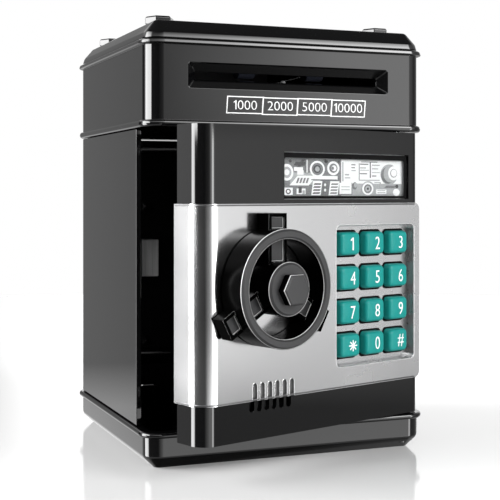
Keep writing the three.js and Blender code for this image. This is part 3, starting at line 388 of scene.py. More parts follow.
WELD = 0.004 * MM
GLYPH_WELD = 0.001 * MM
SHADE_WITHIN = 30  # degrees up to which a rounded edge shades smoothly
CAP_SHADE = 50
BEAD_SHADE = 80


def smooth(mesh, angle):
    """Smooth shading that keeps edges sharper than the angle."""
    mesh.polygons.foreach_set("use_smooth", [True] * len(mesh.polygons))
    mesh.set_sharp_from_angle(angle=math.radians(angle))


def settled(holder):
    """The mesh of an object with its modifiers applied; the object is removed."""
    bpy.context.view_layer.update()
    mesh = bpy.data.meshes.new_from_object(
        holder.evaluated_get(bpy.context.evaluated_depsgraph_get()))
    bpy.data.objects.remove(holder)
    return mesh


def even_normals(mesh):
    """Lets large faces rule the shading, so flat faces stay flat beside their rounded edges."""
    holder = bpy.data.objects.new("holder", mesh)
    bpy.context.scene.collection.objects.link(holder)
    weigh = holder.modifiers.new("weigh", "WEIGHTED_NORMAL")
    weigh.keep_sharp = True
    weigh.weight = 100
    return settled(holder)


FLAT_WITHIN = 0.6  # degrees between triangles that count as one flat face
ROUND_OVER = 34  # degrees above which an edge is rounded


def refined(node, body, slot, width, segments=3, material=None, merged=True):
    """Stands for a CAD node with its edges rounded, by a width in millimetres.

    With merged, its flat triangles are first joined into whole faces.
    """
    mesh = frame["nodes"][node].data.copy()
    work = bmesh.new()
    work.from_mesh(mesh)
    bmesh.ops.remove_doubles(work, verts=work.verts, dist=WELD)
    if merged:
        bmesh.ops.dissolve_limit(work, angle_limit=math.radians(FLAT_WITHIN), verts=work.verts,
                                 edges=work.edges)
    work.to_mesh(mesh)
    work.free()
    holder = bpy.data.objects.new("holder", mesh)
    bpy.context.scene.collection.objects.link(holder)
    edge = holder.modifiers.new("edge", "BEVEL")
    edge.width = width * MM
    edge.segments = segments
    edge.limit_method = "ANGLE"
    edge.angle_limit = math.radians(ROUND_OVER)
    edge.use_clamp_overlap = True
    edge.miter_outer = "MITER_ARC"
    shaped = settled(holder)
    smooth(shaped, SHADE_WITHIN)
    shaped = even_normals(shaped)
    put(node + "_piece", shaped, body, material or LOOK[slot], (node,))


def mesh_from(name, vertices, faces, place):
    """A mesh from vertices in some space, moved into the frame."""
    mesh = bpy.data.meshes.new(name)
    mesh.from_pydata([place @ Vector(v) for v in vertices], [], faces)
    mesh.validate()
    work = bmesh.new()
    work.from_mesh(mesh)
    bmesh.ops.recalc_face_normals(work, faces=work.faces)
    work.to_mesh(mesh)
    work.free()
    return mesh


def rounded_outline(half_x, half_z, radius, steps=5):
    """Points (x, z) round a rectangle with rounded corners."""
    points = []
    for corner, (sx, sz) in enumerate(((1, 1), (-1, 1), (-1, -1), (1, -1))):
        for step in range(steps + 1):
            angle = math.radians(90 * corner + 90 * step / steps)
            points.append((sx * (half_x - radius) + radius * math.cos(angle),
                           sz * (half_z - radius) + radius * math.sin(angle)))
    return points


def oval(x, z, half_x, half_z, steps=36):
    """Points (x, z) round an ellipse."""
    turns = [2 * math.pi * step / steps for step in range(steps)]
    return [(x + half_x * math.cos(turn), z + half_z * math.sin(turn)) for turn in turns]


def loop_faces(loops, count, closed):
    """Quads between neighbouring loops of equally many points; closed joins the last loop to the first."""
    links = loops if closed else loops - 1
    return [(a * count + b, a * count + (b + 1) % count,
             (a + 1) % loops * count + (b + 1) % count, (a + 1) % loops * count + b)
            for a in range(links) for b in range(count)]


def loft(name, rings, place, centre):
    """A closed solid through equal rings of points: one flat end, and one that meets at a centre."""
    count = len(rings[0])
    vertices = [point for ring in rings for point in ring] + [centre]
    last = (len(rings) - 1) * count
    faces = loop_faces(len(rings), count, False) + [tuple(range(count))]
    faces += [(last + i, last + (i + 1) % count, len(vertices) - 1) for i in range(count)]
    return mesh_from(name, vertices, faces, place)


def glyphs(text, height, depth, place, squeeze, bold):
    """Printed figures as a thin raised mesh of a given height; they face -y in their space."""
    curve = bpy.data.curves.new("glyphs", "FONT")
    curve.body = text
    curve.size = 1.0
    curve.offset = bold
    curve.extrude = 0.5
    curve.resolution_u = 5
    holder = bpy.data.objects.new("glyphs", curve)
    bpy.context.scene.collection.objects.link(holder)
    mesh = settled(holder)
    low = [min(v.co[axis] for v in mesh.vertices) for axis in range(3)]
    high = [max(v.co[axis] for v in mesh.vertices) for axis in range(3)]
    centre = Vector([(a + b) / 2 for a, b in zip(low, high)])
    size = height / (high[1] - low[1])
    scale = Matrix.Diagonal((size * squeeze, size, depth / (high[2] - low[2]), 1))
    upright = Matrix.Rotation(math.radians(90), 4, "X")
    mesh.transform(place @ upright @ scale @ Matrix.Translation(-centre))
    work = bmesh.new()
    work.from_mesh(mesh)
    bmesh.ops.remove_doubles(work, verts=work.verts, dist=GLYPH_WELD)
    work.to_mesh(mesh)
    work.free()
    return mesh


def slab(outline, y, depth, place, holes=()):
    """A thin print on (x, z) points, raised by depth towards -y; a hole has equally many points."""
    count = len(outline)
    back = [(x, y, z) for x, z in outline]
    front = [(x, y - depth, z) for x, z in outline]
    ring = [(i, (i + 1) % count) for i in range(count)]
    faces = [(i, j, count + j, count + i) for i, j in ring]
    vertices = back + front
    if not holes:
        faces += [tuple(range(count)), tuple(range(count, 2 * count))]
        return mesh_from("slab", vertices, faces, place)
    vertices += [(x, y, z) for x, z in holes] + [(x, y - depth, z) for x, z in holes]
    inner = 2 * count
    for i, j in ring:
        faces += [(inner + i, inner + j, inner + count + j, inner + count + i),
                  (i, j, inner + j, inner + i),
                  (count + i, count + j, inner + count + j, inner + count + i)]
    return mesh_from("slab", vertices, faces, place)


# The figure 1: half widths and reaches as shares of its height, levels as shares of its half height.
ONE_BAR = 0.068
ONE_REACH = 0.19
ONE_SHOULDER = 0.4
ONE_FLAG_HIGH = 0.68
ONE_FLAG_LOW = 0.42
ONE_NOTCH = 0.66


def flagged_one(height, depth, place):
    """The figure 1 with a flag at its top left."""
    half = height / 2
    bar = height * ONE_BAR
    tip = -bar - height * ONE_REACH
    outline = [(-bar, -half), (bar, -half), (bar, half), (-bar * ONE_SHOULDER, half),
               (tip, half * ONE_FLAG_HIGH), (tip, half * ONE_FLAG_LOW), (-bar, half * ONE_NOTCH)]
    return slab(outline, depth / 2, depth, place)


def bead(path, y, radius, place, closed=True, sides=10):
    """A round bead along a path of (x, z) points at one depth."""
    count = len(path)
    vertices = []
    for index in range(count):
        before = path[index - 1] if closed or index else path[index]
        after = path[(index + 1) % count] if closed or index < count - 1 else path[index]
        along = Vector((after[0] - before[0], after[1] - before[1])).normalized()
        for side in range(sides):
            roll = 2 * math.pi * side / sides
            out = radius * math.cos(roll)
            vertices.append((path[index][0] + along.y * out, y + radius * math.sin(roll),
                             path[index][1] - along.x * out))
    faces = loop_faces(count, sides, closed)
    if not closed:
        faces += [tuple(range(sides)), tuple((count - 1) * sides + b for b in range(sides))]
    mesh = mesh_from("bead", vertices, faces, place)
    smooth(mesh, BEAD_SHADE)
    return mesh


def joined(meshes):
    """Several meshes as one."""
    work = bmesh.new()
    for mesh in meshes:
        work.from_mesh(mesh)
    made = bpy.data.meshes.new("joined")
    work.to_mesh(made)
    work.free()
    return made


# ---- pieces shaped from the CAD

GLOSS, SATIN, SILVER = "black_gloss_plastic", "black_satin_plastic", "silver_paint"


def make_housing():
    """Base, shell, head and lid with their bolts."""
    for node, width in (("base_plinth", 0.5), ("main_shell", 0.4), ("head_housing", 0.35),
                        ("top_lid", 0.5)):
        refined(node, "housing", GLOSS, width)
    for corner in ("front_left", "front_right", "rear_left", "rear_right"):
        refined("lid_bolt_" + corner, "housing", GLOSS, 0.3)
    refined("strike_plate", "housing", "steel", 0.25, material=DULL_STEEL)
    refined("coin_chute", "housing", SATIN, 0.25)
    refined("note_guide", "housing", SATIN, 0.2)
    refined("bill_sensor", "housing", "white_plastic", 0.15, material=INK["mid"])
    refined("feed_motor", "housing", "steel", 0.3)
    refined("battery_cover", "housing", GLOSS, 0.35)
    refined("battery_cover_screw", "housing", "steel", 0.15)
    for pin in ("hinge_pin_lower", "hinge_pin_upper"):
        refined(pin, "housing", "steel", 0.2)


def make_power():
    """Cells and their contacts."""
    for number in (1, 2, 3):
        refined(f"battery_{number}", "housing", "cell_wrap", 0.5)
    for side in ("left", "right"):
        refined(f"battery_contact_{side}", "housing", "steel", 0.15)


def make_feed():
    """The rollers that draw a note in."""
    for side in ("left", "right"):
        refined(f"feed_wheel_{side}", "feed", "roller_rubber", 0.4)
    refined("feed_shaft", "feed", "steel", 0.2)
    refined("feed_gear", "feed", "white_plastic", 0.12)
    refined("motor_pinion", "motor_drive", "white_plastic", 0.1)
    refined("idler_roller", "idler", "roller_rubber", 0.3)


def make_door():
    """Door shell, plate, back cover and what is mounted in them."""
    refined("door_shell", "door", GLOSS, 0.35)
    refined("faceplate", "door", SILVER, 0.45, 4, merged=False)
    refined("door_back_cover", "door", SATIN, 0.35)
    refined("window_lens", "door", "clear_window", 0.12)
    refined("window_card", "door", "window_print", 0.05)
    refined("keypad_sheet", "door", "grey_plastic", 0.2)
    refined("circuit_board", "door", "circuit_green", 0.1)
    refined("speaker", "door", SATIN, 0.25)
    refined("solenoid", "door", "copper_coil", 0.25)
    refined("latch_housing", "door", "white_plastic", 0.25)
    for number in (1, 2, 3, 4):
        refined(f"door_screw_{number}", "door", "steel", 0.15)
    refined("latch_bolt", "latch", "steel", 0.3)
    refined("lock_plunger", "plunger", "steel", 0.2)


def make_knob():
    """The three-lugged wheel, its bolt and the parts on its shaft."""
    refined("knob_wheel", "knob", GLOSS, 0.32, 4, KNOB_LOOK_WITH_HIGHLIGHT)
    refined("knob_hex_bolt", "knob", GLOSS, 0.32, 4, KNOB_LOOK_WITH_HIGHLIGHT)
    make_lug_inlays()
    make_knob_highlight_lines()
    refined("knob_cam", "knob", "white_plastic", 0.2)
    refined("knob_pinion", "knob", "white_plastic", 0.1)


def knob_place(back):
    """A place on the wheel's axis, a distance behind its front."""
    axis_point = DOOR.inverted() @ Vector(joint_named("knob_turn")["pos_m"])
    front = corners("knob_wheel")[0].y
    return DOOR @ Matrix.Translation((axis_point.x, front + back, axis_point.z))


HOOP_STEPS = 96
HOOP_SIDES = 8
EDGE_LINE = 0.17 * MM
# Radius and depth behind the hub's front: the rim's outer edge, its inner edge and the hub's edge.
WHEEL_EDGES = ((23.93 * MM, 2.17 * MM), (20.13 * MM, 2.03 * MM), (10.73 * MM, 0.97 * MM))


def make_knob_highlight_lines():
    """Painted highlight lines along the wheel's outer, inner and hub edges, pale on the lit side."""
    place = knob_place(0)
    lines = [bead(oval(0, 0, radius, radius, HOOP_STEPS), depth, EDGE_LINE, place, sides=HOOP_SIDES)
             for radius, depth in WHEEL_EDGES]
    put("knob_painted_highlight_lines", joined(lines), "knob", HIGHLIGHT_LINE_LOOK)


ARM_ANGLES = (90, 210, 330)
ARM_SET_BACK = 8.3 * MM  # from the hub's front to the panels' faces
ARM_PANELS = ((11.0 * MM, 19.9 * MM), (24.2 * MM, 28.5 * MM))  # near and far ends, from the axis
ARM_PANEL_HALF = 3.15 * MM
ARM_PANEL_DEPTH = 2.4 * MM
ARM_PANEL_ROUND = 0.4 * MM


def make_lug_inlays():
    """Satin panels that fill most of the pockets in the wheel's three arms, with a fine painted highlight
    line round each.
    """
    panels = []
    lines = []
    for angle in ARM_ANGLES:
        arm = knob_place(ARM_SET_BACK) @ Matrix.Rotation(-math.radians(angle), 4, "Y")
        for near, far in ARM_PANELS:
            outline = [((near + far) / 2 + x, z)
                       for x, z in rounded_outline((far - near) / 2, ARM_PANEL_HALF, ARM_PANEL_ROUND)]
            panels.append(slab(outline, ARM_PANEL_DEPTH, ARM_PANEL_DEPTH, arm))
            lines.append(bead(outline, 0, EDGE_LINE, arm))
    put("knob_arm_panels", joined(panels), "knob", LOOK[SATIN])
    put("knob_panel_highlight_lines", joined(lines), "knob", HIGHLIGHT_LINE_LOOK)


# ---- keys

KEYS = {"key_1": "1", "key_2": "2", "key_3": "3", "key_4": "4", "key_5": "5", "key_6": "6",
        "key_7": "7", "key_8": "8", "key_9": "9", "key_star": "*", "key_0": "0", "key_hash": "#"}
KEY_CORNER = 2.0 * MM
KEY_CORNER_FALL = 0.5  # how fast a cap's corners tighten as it narrows
KEY_LEAST_CORNER = 0.3 * MM
KEY_CORNER_STEPS = 7
KEY_CAP_DEPTH = 1.4 * MM  # the cap is what lies this close to the key's front
KEY_ROUND = 1.7 * MM
KEY_SKIRT = 2.55 * MM  # from a key's front back to where its sides start to round
KEY_CROWN = 0.22 * MM
KEY_DRAFT = 0.12 * MM
KEY_TURNS = tuple(math.radians(10 * step) for step in range(10))
KEY_TOP_SHARES = (0.3, 0.6, 0.85)  # of the way from the rounded edge to the middle
FIGURE_HEIGHT = 5.5 * MM
FIGURE_SHIFT = 0.85 * MM
FIGURE_BOLD = -0.006
FIGURE_SQUEEZE = 0.82
HASH_SQUEEZE = 0.88
STAR_REACH = 2.45 * MM
STAR_LINE = 0.25 * MM
STAR_LAYER = 0.1  # share of the ink's depth by which each arm stands prouder than the one before
# Painted shade: black collars that darken the gaps round the keys.
SHADE_COLLAR_GAP = 0.12 * MM
SHADE_COLLAR_WIDTH = 0.8 * MM
SHADE_COLLAR_SUNK = 0.6 * MM  # from the pad's floor to the collars' backs
SHADE_COLLAR_DEPTH = 0.65 * MM
PAD_FLOOR = -4.13 * MM
INK_DEPTH = 0.06 * MM
INK_LIFT = 0.1  # share of the ink's depth from a key's face out to the middle of its figure's depth


def key_cap(node):
    """The place of a key's middle, and half the width and half the height of its cap."""
    low, high = corners(node)
    cap = [p for p in door_points(node) if p.y < low.y + KEY_CAP_DEPTH]
    half_x = (max(p.x for p in cap) - min(p.x for p in cap)) / 2
    half_z = (max(p.z for p in cap) - min(p.z for p in cap)) / 2
    middle = DOOR @ Matrix.Translation(((low.x + high.x) / 2, 0, (low.z + high.z) / 2))
    return middle, half_x, half_z


def cap_rings(half_x, half_z, front, flange):
    """Rings of points from a key's flange, over its rounded edge, to its crowned face."""
    def ring(inset, y):
        radius = max(KEY_CORNER - inset * KEY_CORNER_FALL, KEY_LEAST_CORNER)
        outline = rounded_outline(half_x - inset, half_z - inset, radius, KEY_CORNER_STEPS)
        return [(x, y, z) for x, z in outline]

    rings = [ring(0, flange), ring(0, front + KEY_SKIRT)]
    for turn in KEY_TURNS:
        rings.append(ring(KEY_DRAFT + (KEY_ROUND - KEY_DRAFT) * (1 - math.cos(turn)),
                          front + KEY_CROWN + KEY_ROUND * (1 - math.sin(turn))))
    for share in KEY_TOP_SHARES:
        rings.append(ring(KEY_ROUND + share * (half_z - KEY_ROUND),
                          front + KEY_CROWN * (1 - share) ** 2))
    return rings


def make_key(node, figure):
    """One cushion-topped key, the dark flange that keeps it in the pad, and its printed figure."""
    low, high = corners(node)
    steps = depths(node)
    front, flange = steps[0], steps[-2]
    middle, half_x, half_z = key_cap(node)
    mesh = loft(node, cap_rings(half_x, half_z, front, flange), middle, (0, front, 0))
    smooth(mesh, CAP_SHADE)
    put(node + "_cap", mesh, node, LOOK["teal_key_plastic"], (node,))
    wide = rounded_outline((high.x - low.x) / 2, (high.z - low.z) / 2, KEY_CORNER, KEY_CORNER_STEPS)
    skirt = slab(wide, high.y, high.y - flange, middle)
    put(node + "_flange", skirt, node, LOOK[SATIN])
    face = middle @ Matrix.Translation((FIGURE_SHIFT, front - INK_DEPTH * INK_LIFT, 0))
    put(node + "_figure", star(face) if figure == "*" else figure_mesh(figure, face), node, INK["white"])


def make_pad_shade_collars():
    """Black collars round the keys, lying on the pad's floor: painted shade in the gaps between the keys
    and their holes.
    """
    collars = []
    floor = min(depths("faceplate"), key=lambda y: abs(y - PAD_FLOOR))
    for node in KEYS:
        middle, half_x, half_z = key_cap(node)
        half_x += SHADE_COLLAR_GAP
        half_z += SHADE_COLLAR_GAP
        hole = rounded_outline(half_x, half_z, KEY_CORNER, KEY_CORNER_STEPS)
        rim = rounded_outline(half_x + SHADE_COLLAR_WIDTH, half_z + SHADE_COLLAR_WIDTH, KEY_CORNER, KEY_CORNER_STEPS)
        collars.append(slab(rim, floor + SHADE_COLLAR_SUNK, SHADE_COLLAR_DEPTH, middle, hole))
    put("keypad_painted_shade_collars", joined(collars), "door", DEAD_BLACK)


def figure_mesh(figure, place):
    """One figure as the keys carry it, a little condensed."""
    if figure == "1":
        return flagged_one(FIGURE_HEIGHT, INK_DEPTH * 2, place)
    squeeze = HASH_SQUEEZE if figure == "#" else FIGURE_SQUEEZE
    return glyphs(figure, FIGURE_HEIGHT, INK_DEPTH * 2, place, squeeze, FIGURE_BOLD)


def star(place):
    """An eight-armed star."""
    arms = []
    for turn in range(4):
        angle = math.radians(45 * turn)
        along = Vector((math.cos(angle), math.sin(angle)))
        across = Vector((-along.y, along.x)) * STAR_LINE
        tip = along * STAR_REACH
        outline = [tip + across, tip - across, -tip - across, -tip + across]
        depth = INK_DEPTH * (2 + STAR_LAYER * turn)
        arms.append(slab([(p.x, p.y) for p in outline], INK_DEPTH, depth, place))
    return joined(arms)


# ---- prints

LABEL_LEFT = -30.4 * MM
LABEL_STEP = 16.4 * MM
LABEL_LOW = 150.2 * MM
LABEL_HIGH = 157.7 * MM
LABEL_LINE = 0.45 * MM
LABEL_LEAN = 0.07
LABEL_FIGURE = 3.9 * MM
LABEL_SQUEEZE = 1.08
LABEL_BOLD = -0.012
LABEL_DROP = 0.3 * MM  # how much lower every second box hangs
LABEL_OVERLAP = 0.6 * MM
LABEL_LAYER = 0.2  # share of the ink's depth by which each box stands prouder than the one before
ONE_STEP = 0.25  # how far the zeros move right for the 1, as a share of the figures' height
ONE_GAP = 0.22  # from the zeros' left edge to the 1's middle, likewise


def label_box(x0, x1, z0, z1, place):
    """A thin outline leaning a little to the right."""
    line = LABEL_LINE

    def leaning(x, z):
        return x + LABEL_LEAN * (z - z0), z
    outer = [leaning(x0, z0), leaning(x1, z0), leaning(x1, z1), leaning(x0, z1)]
    inner = [leaning(x0 + line, z0 + line), leaning(x1 - line, z0 + line),
             leaning(x1 - line, z1 - line), leaning(x0 + line, z1 - line)]
    return slab(outer, 0, INK_DEPTH, place, inner)


LARGE_FACE = 0.002  # square metres
FACING_FRONT = -0.99


def head_front():
    """Depth of the head's flat front: the foremost depth with a large forward-facing area."""
    areas = {}
    for face in frame["nodes"]["head_housing"].data.polygons:
        if face.normal.y < FACING_FRONT:
            depth = round(face.center.y, 4)
            areas[depth] = areas.get(depth, 0) + face.area
    return min(depth for depth, area in areas.items() if area > LARGE_FACE)


VENT_FIRST = -93.7  # millimetres
VENT_STEP = 4
VENT_X = [(VENT_FIRST + VENT_STEP * number) * MM for number in range(6)]
VENT_HALF = 1.35 * MM
VENT_TOP = 39.6 * MM
VENT_RIM = 0.2 * MM
VENT_RIM_BACK = 0.15 * MM  # from the plate's front to the middle of the rims
VENT_INSET = 0.1 * MM
SHADE_STRIP_BACK = 1.6 * MM
SHADE_STRIP_DEPTH = 0.3 * MM
PAD_LEFT, PAD_RIGHT, PAD_LOW, PAD_HIGH = (value * MM for value in (-48.1, 1.5, 41.1, 102.3))
PAD_ROUND = 2.6 * MM
PAD_BEAD = 0.42 * MM
PAD_BEAD_BACK = 0.92  # share of the bead's radius from the plate's front to the bead's middle
PAD_CORNER_STEPS = 6
PLATE_BEAD = 0.62 * MM
PLATE_TURN = 8.4 * MM
RAIL_PROUD = 0.1 * MM
RAIL_RISE = 0.55 * MM
RAIL_STOP = 3.2 * MM
ARC_STEPS = 12


def vent_path(x, low):
    """Up one side of a vent, round its top and down the other side, as (x, z) points."""
    turns = [math.pi * step / ARC_STEPS for step in range(ARC_STEPS + 1)]
    crown = [(x - VENT_HALF * math.cos(turn), VENT_TOP - VENT_HALF + VENT_HALF * math.sin(turn))
             for turn in turns]
    return [(x - VENT_HALF, low + VENT_RIM)] + crown + [(x + VENT_HALF, low + VENT_RIM)]


def make_vent_shade_strips():
    """Grey strips inside the vents where they cut through the silver plate, painted shade standing for the
    silver walls there, and the vents' raised rims.
    """
    low = corners("faceplate")[0]
    strips = []
    rims = []
    for x in VENT_X:
        outline = oblong(x - VENT_HALF, x + VENT_HALF, low.z + VENT_INSET, VENT_TOP - VENT_INSET)
        strips.append(slab(outline, low.y + SHADE_STRIP_BACK, SHADE_STRIP_DEPTH, DOOR))
        rims.append(bead(vent_path(x, low.z), low.y + VENT_RIM_BACK, VENT_RIM, DOOR, closed=False))
    put("vent_painted_shade_strips", joined(strips), "door", VENT_SHADE_GREY)
    put("vent_rims", joined(rims), "door", LOOK[SILVER])


def plate_rail(low, high):
    """The plate's outline seen from above as (x, -y) points, just inside its outer face."""
    inset = PLATE_BEAD - RAIL_PROUD
    turn = PLATE_TURN - inset
    centre = (low.x + PLATE_TURN, low.y + PLATE_TURN)
    angles = [math.pi / 2 * step / ARC_STEPS for step in range(ARC_STEPS + 1)]
    bend = [(centre[0] - turn * math.cos(angle), -(centre[1] - turn * math.sin(angle)))
            for angle in angles]
    return ([(low.x + inset, -(high.y - PLATE_BEAD))] + bend
            + [(high.x - RAIL_STOP, -(low.y + inset))])


def make_plate_beads():
    """A silver bead round the keypad's recess, and dark grey rails along the plate's top and bottom edges,
    painted shade.
    """
    low, high = corners("faceplate")
    ring = rounded_outline((PAD_RIGHT - PAD_LEFT) / 2, (PAD_HIGH - PAD_LOW) / 2, PAD_ROUND,
                           PAD_CORNER_STEPS)
    ring = [((PAD_LEFT + PAD_RIGHT) / 2 + x, (PAD_LOW + PAD_HIGH) / 2 + z) for x, z in ring]
    back = low.y + PAD_BEAD * PAD_BEAD_BACK
    put("pad_bead", bead(ring, back, PAD_BEAD, DOOR), "door", SILVER_EDGE)
    laid_flat = DOOR @ Matrix.Rotation(math.radians(90), 4, "X")
    path = plate_rail(low, high)
    rails = [bead(path, level, PLATE_BEAD, laid_flat, closed=False)
             for level in (low.z + RAIL_RISE, high.z - RAIL_RISE)]
    put("plate_painted_shade_rails", joined(rails), "door", RAIL_SHADE_LOOK)


def label_figures(figures, place):
    """The figures of one label, centred; a leading 1 has its flag."""
    if figures[0] != "1":
        return glyphs(figures, LABEL_FIGURE, INK_DEPTH, place, LABEL_SQUEEZE, LABEL_BOLD)
    shifted = place @ Matrix.Translation((LABEL_FIGURE * ONE_STEP, 0, 0))
    zeros = glyphs(figures[1:], LABEL_FIGURE, INK_DEPTH, shifted, LABEL_SQUEEZE, LABEL_BOLD)
    left = min((place.inverted() @ vertex.co).x for vertex in zeros.vertices)
    at = place @ Matrix.Translation((left - LABEL_FIGURE * ONE_GAP, 0, 0))
    return joined([flagged_one(LABEL_FIGURE, INK_DEPTH, at), zeros])


def make_labels():
    """Four outlined boxes with round figures under the note slot."""
    face = head_front()
    for number, figures in enumerate(("1000", "2000", "5000", "10000")):
        left = LABEL_LEFT + number * LABEL_STEP
        right = left + LABEL_STEP + LABEL_OVERLAP
        drop = LABEL_DROP * (number % 2)
        sheet = Matrix.Translation((0, face - INK_DEPTH * LABEL_LAYER * number, 0))
        outline = label_box(left, right, LABEL_LOW - drop, LABEL_HIGH - drop / 2, sheet)
        place = Matrix.Translation(((left + right + LABEL_OVERLAP) / 2, face - INK_DEPTH / 2,
                                    (LABEL_LOW + LABEL_HIGH) / 2))
        text = label_figures(figures, place)
        put(f"slot_label_{number + 1}", joined([outline, text]), "housing", INK["white"])


def oblong(x0, x1, z0, z1, lean=0.0):
    """The corners of a rectangle, leaning to the right by a share of its height."""
    shift = lean * (z1 - z0)
    return [(x0, z0), (x1, z0), (x1 + shift, z1), (x0 + shift, z1)]


def stripes(tone, x):
    """Four leaning stripes side by side, from a left edge."""
    starts = [x + 0.025 * number for number in range(4)]
    return [(tone, oblong(start, start + 0.015, 0.34, 0.48, 0.1)) for start in starts]


def ladder(tone, x):
    """A white panel with four rungs, each a little further right than the one below."""
    drawn = [("white", oblong(x, x + 0.075, 0.02, 0.40, 0.04))]
    for number in range(4):
        start = x + 0.010 + 0.003 * number
        level = 0.06 + 0.08 * number
        drawn.append((tone, oblong(start, start + 0.055, level, level + 0.04, 0.2)))
    return drawn


# The machinery drawn on the card, in shares of its width and height from its lower left corner.
# Each row: tone, outline. Later rows lie over earlier ones.
ART = [
    # the two halves of the card, with a panel on each
    ("mid", oblong(0, 0.47, 0, 1)), ("pale", oblong(0.47, 1, 0, 1)),
    ("pale", oblong(0.06, 0.3, 0.3, 0.62)), ("white", oblong(0.47, 1, 0.34, 0.98)),
    # a half wheel at the left edge
    ("white", oval(0.035, 0.62, 0.05, 0.22)), ("pale", oval(0.035, 0.62, 0.035, 0.15)),
    ("white", oval(0.035, 0.62, 0.02, 0.08)),
    # a lever on its stand
    ("dark", oblong(0.085, 0.17, 0.8, 0.9, 0.2)), ("dark", oblong(0.1, 0.125, 0.7, 0.96, 0.2)),
    ("white", oblong(0.09, 0.16, 0.66, 0.76)), ("white", oblong(0.115, 0.165, 0.56, 0.68)),
    # two wheels on a white bar
    ("white", oval(0.275, 0.72, 0.06, 0.22)), ("mid", oval(0.275, 0.72, 0.046, 0.165)),
    ("dark", oval(0.272, 0.72, 0.03, 0.11)), ("pale", oval(0.275, 0.72, 0.018, 0.07)),
    ("white", oval(0.405, 0.75, 0.05, 0.19)), ("mid", oval(0.405, 0.75, 0.034, 0.125)),
    ("white", oval(0.41, 0.75, 0.021, 0.08)), ("mid", oval(0.4, 0.75, 0.01, 0.045)),
    ("white", oblong(0.215, 0.44, 0.44, 0.54)),
    # a striped cover
    ("white", oblong(0.055, 0.205, 0.28, 0.54, 0.25)), *stripes("mid", 0.105),
    # a small dial and a box beside it
    ("white", oblong(0.01, 0.08, 0.03, 0.22)), ("dark", oval(0.045, 0.12, 0.02, 0.07)),
    ("white", oval(0.045, 0.12, 0.011, 0.04)), ("white", oblong(0.11, 0.18, 0.05, 0.2)),
    ("dark", oblong(0.125, 0.15, 0.08, 0.24)), ("pale", oblong(0.155, 0.175, 0.05, 0.15)),
    # two ladders
    *ladder("dark", 0.225), *ladder("mid", 0.365),
    # a white cabinet with short lines, and one below it
    ("white", oblong(0.485, 0.6, 0.4, 0.92)), ("pale", oblong(0.48, 0.488, 0.4, 0.92)),
    ("mid", oblong(0.555, 0.59, 0.84, 0.87)), ("mid", oblong(0.555, 0.585, 0.76, 0.79)),
    ("pale", oblong(0.555, 0.592, 0.68, 0.71)), ("white", oblong(0.455, 0.56, 0.05, 0.36)),
    # a post with lines to its right
    ("mid", oblong(0.62, 0.625, 0.44, 0.9)), ("mid", oblong(0.63, 0.7, 0.86, 0.89)),
    ("pale", oblong(0.63, 0.68, 0.76, 0.79)), ("pale", oblong(0.63, 0.705, 0.7, 0.72)),
    ("mid", oblong(0.63, 0.69, 0.6, 0.63)), ("pale", oblong(0.62, 0.8, 0.42, 0.45)),
    # a large drum
    ("pale", oval(0.885, 0.6, 0.075, 0.29)), ("mid", oval(0.875, 0.58, 0.062, 0.235)),
    ("pale", oval(0.895, 0.62, 0.06, 0.24)), ("white", oval(0.925, 0.64, 0.05, 0.2)),
    # a wheel below the post
    ("pale", oval(0.7, 0.2, 0.058, 0.21)), ("white", oval(0.696, 0.2, 0.048, 0.175)),
    ("mid", oval(0.696, 0.2, 0.034, 0.125)), ("pale", oval(0.696, 0.2, 0.022, 0.08)),
    ("dark", oval(0.696, 0.2, 0.01, 0.035)),
    # a bent pipe with a box, a lever and a disc
    ("pale", oblong(0.755, 0.81, 0.36, 0.385)), ("pale", oblong(0.802, 0.81, 0.22, 0.385)),
    ("pale", oblong(0.755, 0.763, 0.22, 0.3)), ("white", oblong(0.77, 0.86, 0.06, 0.18)),
    ("mid", oblong(0.84, 0.93, 0.22, 0.29, 0.3)), ("white", oval(0.95, 0.1, 0.03, 0.1)),
    # lines on the two cabinets, and a dial beside the lower one
    ("pale", oblong(0.5, 0.535, 0.56, 0.6)), ("pale", oblong(0.5, 0.545, 0.48, 0.51)),
    ("mid", oblong(0.47, 0.56, 0.035, 0.055)), ("mid", oblong(0.556, 0.562, 0.04, 0.36)),
    ("pale", oblong(0.47, 0.54, 0.24, 0.26)), ("pale", oblong(0.47, 0.54, 0.16, 0.18)),
    ("mid", oval(0.585, 0.28, 0.018, 0.1)), ("pale", oval(0.59, 0.3, 0.013, 0.07)),
    # a second post with lines
    ("mid", oblong(0.64, 0.78, 0.93, 0.95)), ("mid", oblong(0.715, 0.722, 0.5, 0.94)),
    ("pale", oblong(0.735, 0.8, 0.84, 0.87)), ("pale", oblong(0.735, 0.785, 0.74, 0.77)),
    ("pale", oblong(0.735, 0.8, 0.64, 0.66)), ("mid", oblong(0.735, 0.77, 0.54, 0.57)),
    # the drum's face, lines on the box, and dots, bars and bolts over the rest
    ("mid", oval(0.925, 0.64, 0.03, 0.12)), ("white", oval(0.926, 0.645, 0.026, 0.105)),
    ("mid", oblong(0.78, 0.85, 0.085, 0.1)), ("mid", oblong(0.78, 0.85, 0.14, 0.155)),
    ("dark", oval(0.955, 0.27, 0.012, 0.05)), ("dark", oval(0.06, 0.92, 0.01, 0.04)),
    ("mid", oblong(0.18, 0.2, 0.6, 0.98)), ("white", oblong(0.186, 0.194, 0.62, 0.96)),
    ("mid", oblong(0.32, 0.35, 0.06, 0.4)), ("white", oval(0.335, 0.3, 0.009, 0.04)),
    ("white", oval(0.335, 0.16, 0.009, 0.04)), ("dark", oblong(0.225, 0.43, 0.425, 0.445)),
    ("mid", oval(0.455, 0.93, 0.01, 0.04)), ("dark", oval(0.345, 0.93, 0.012, 0.05)),
]
ART_LAYER = 0.0025 * MM
BORDER_ROUND = 0.8 * MM  # the opening's corners
LENS_ROUND = 0.3 * MM  # the border's outer corners
BORDER_STEPS = 4
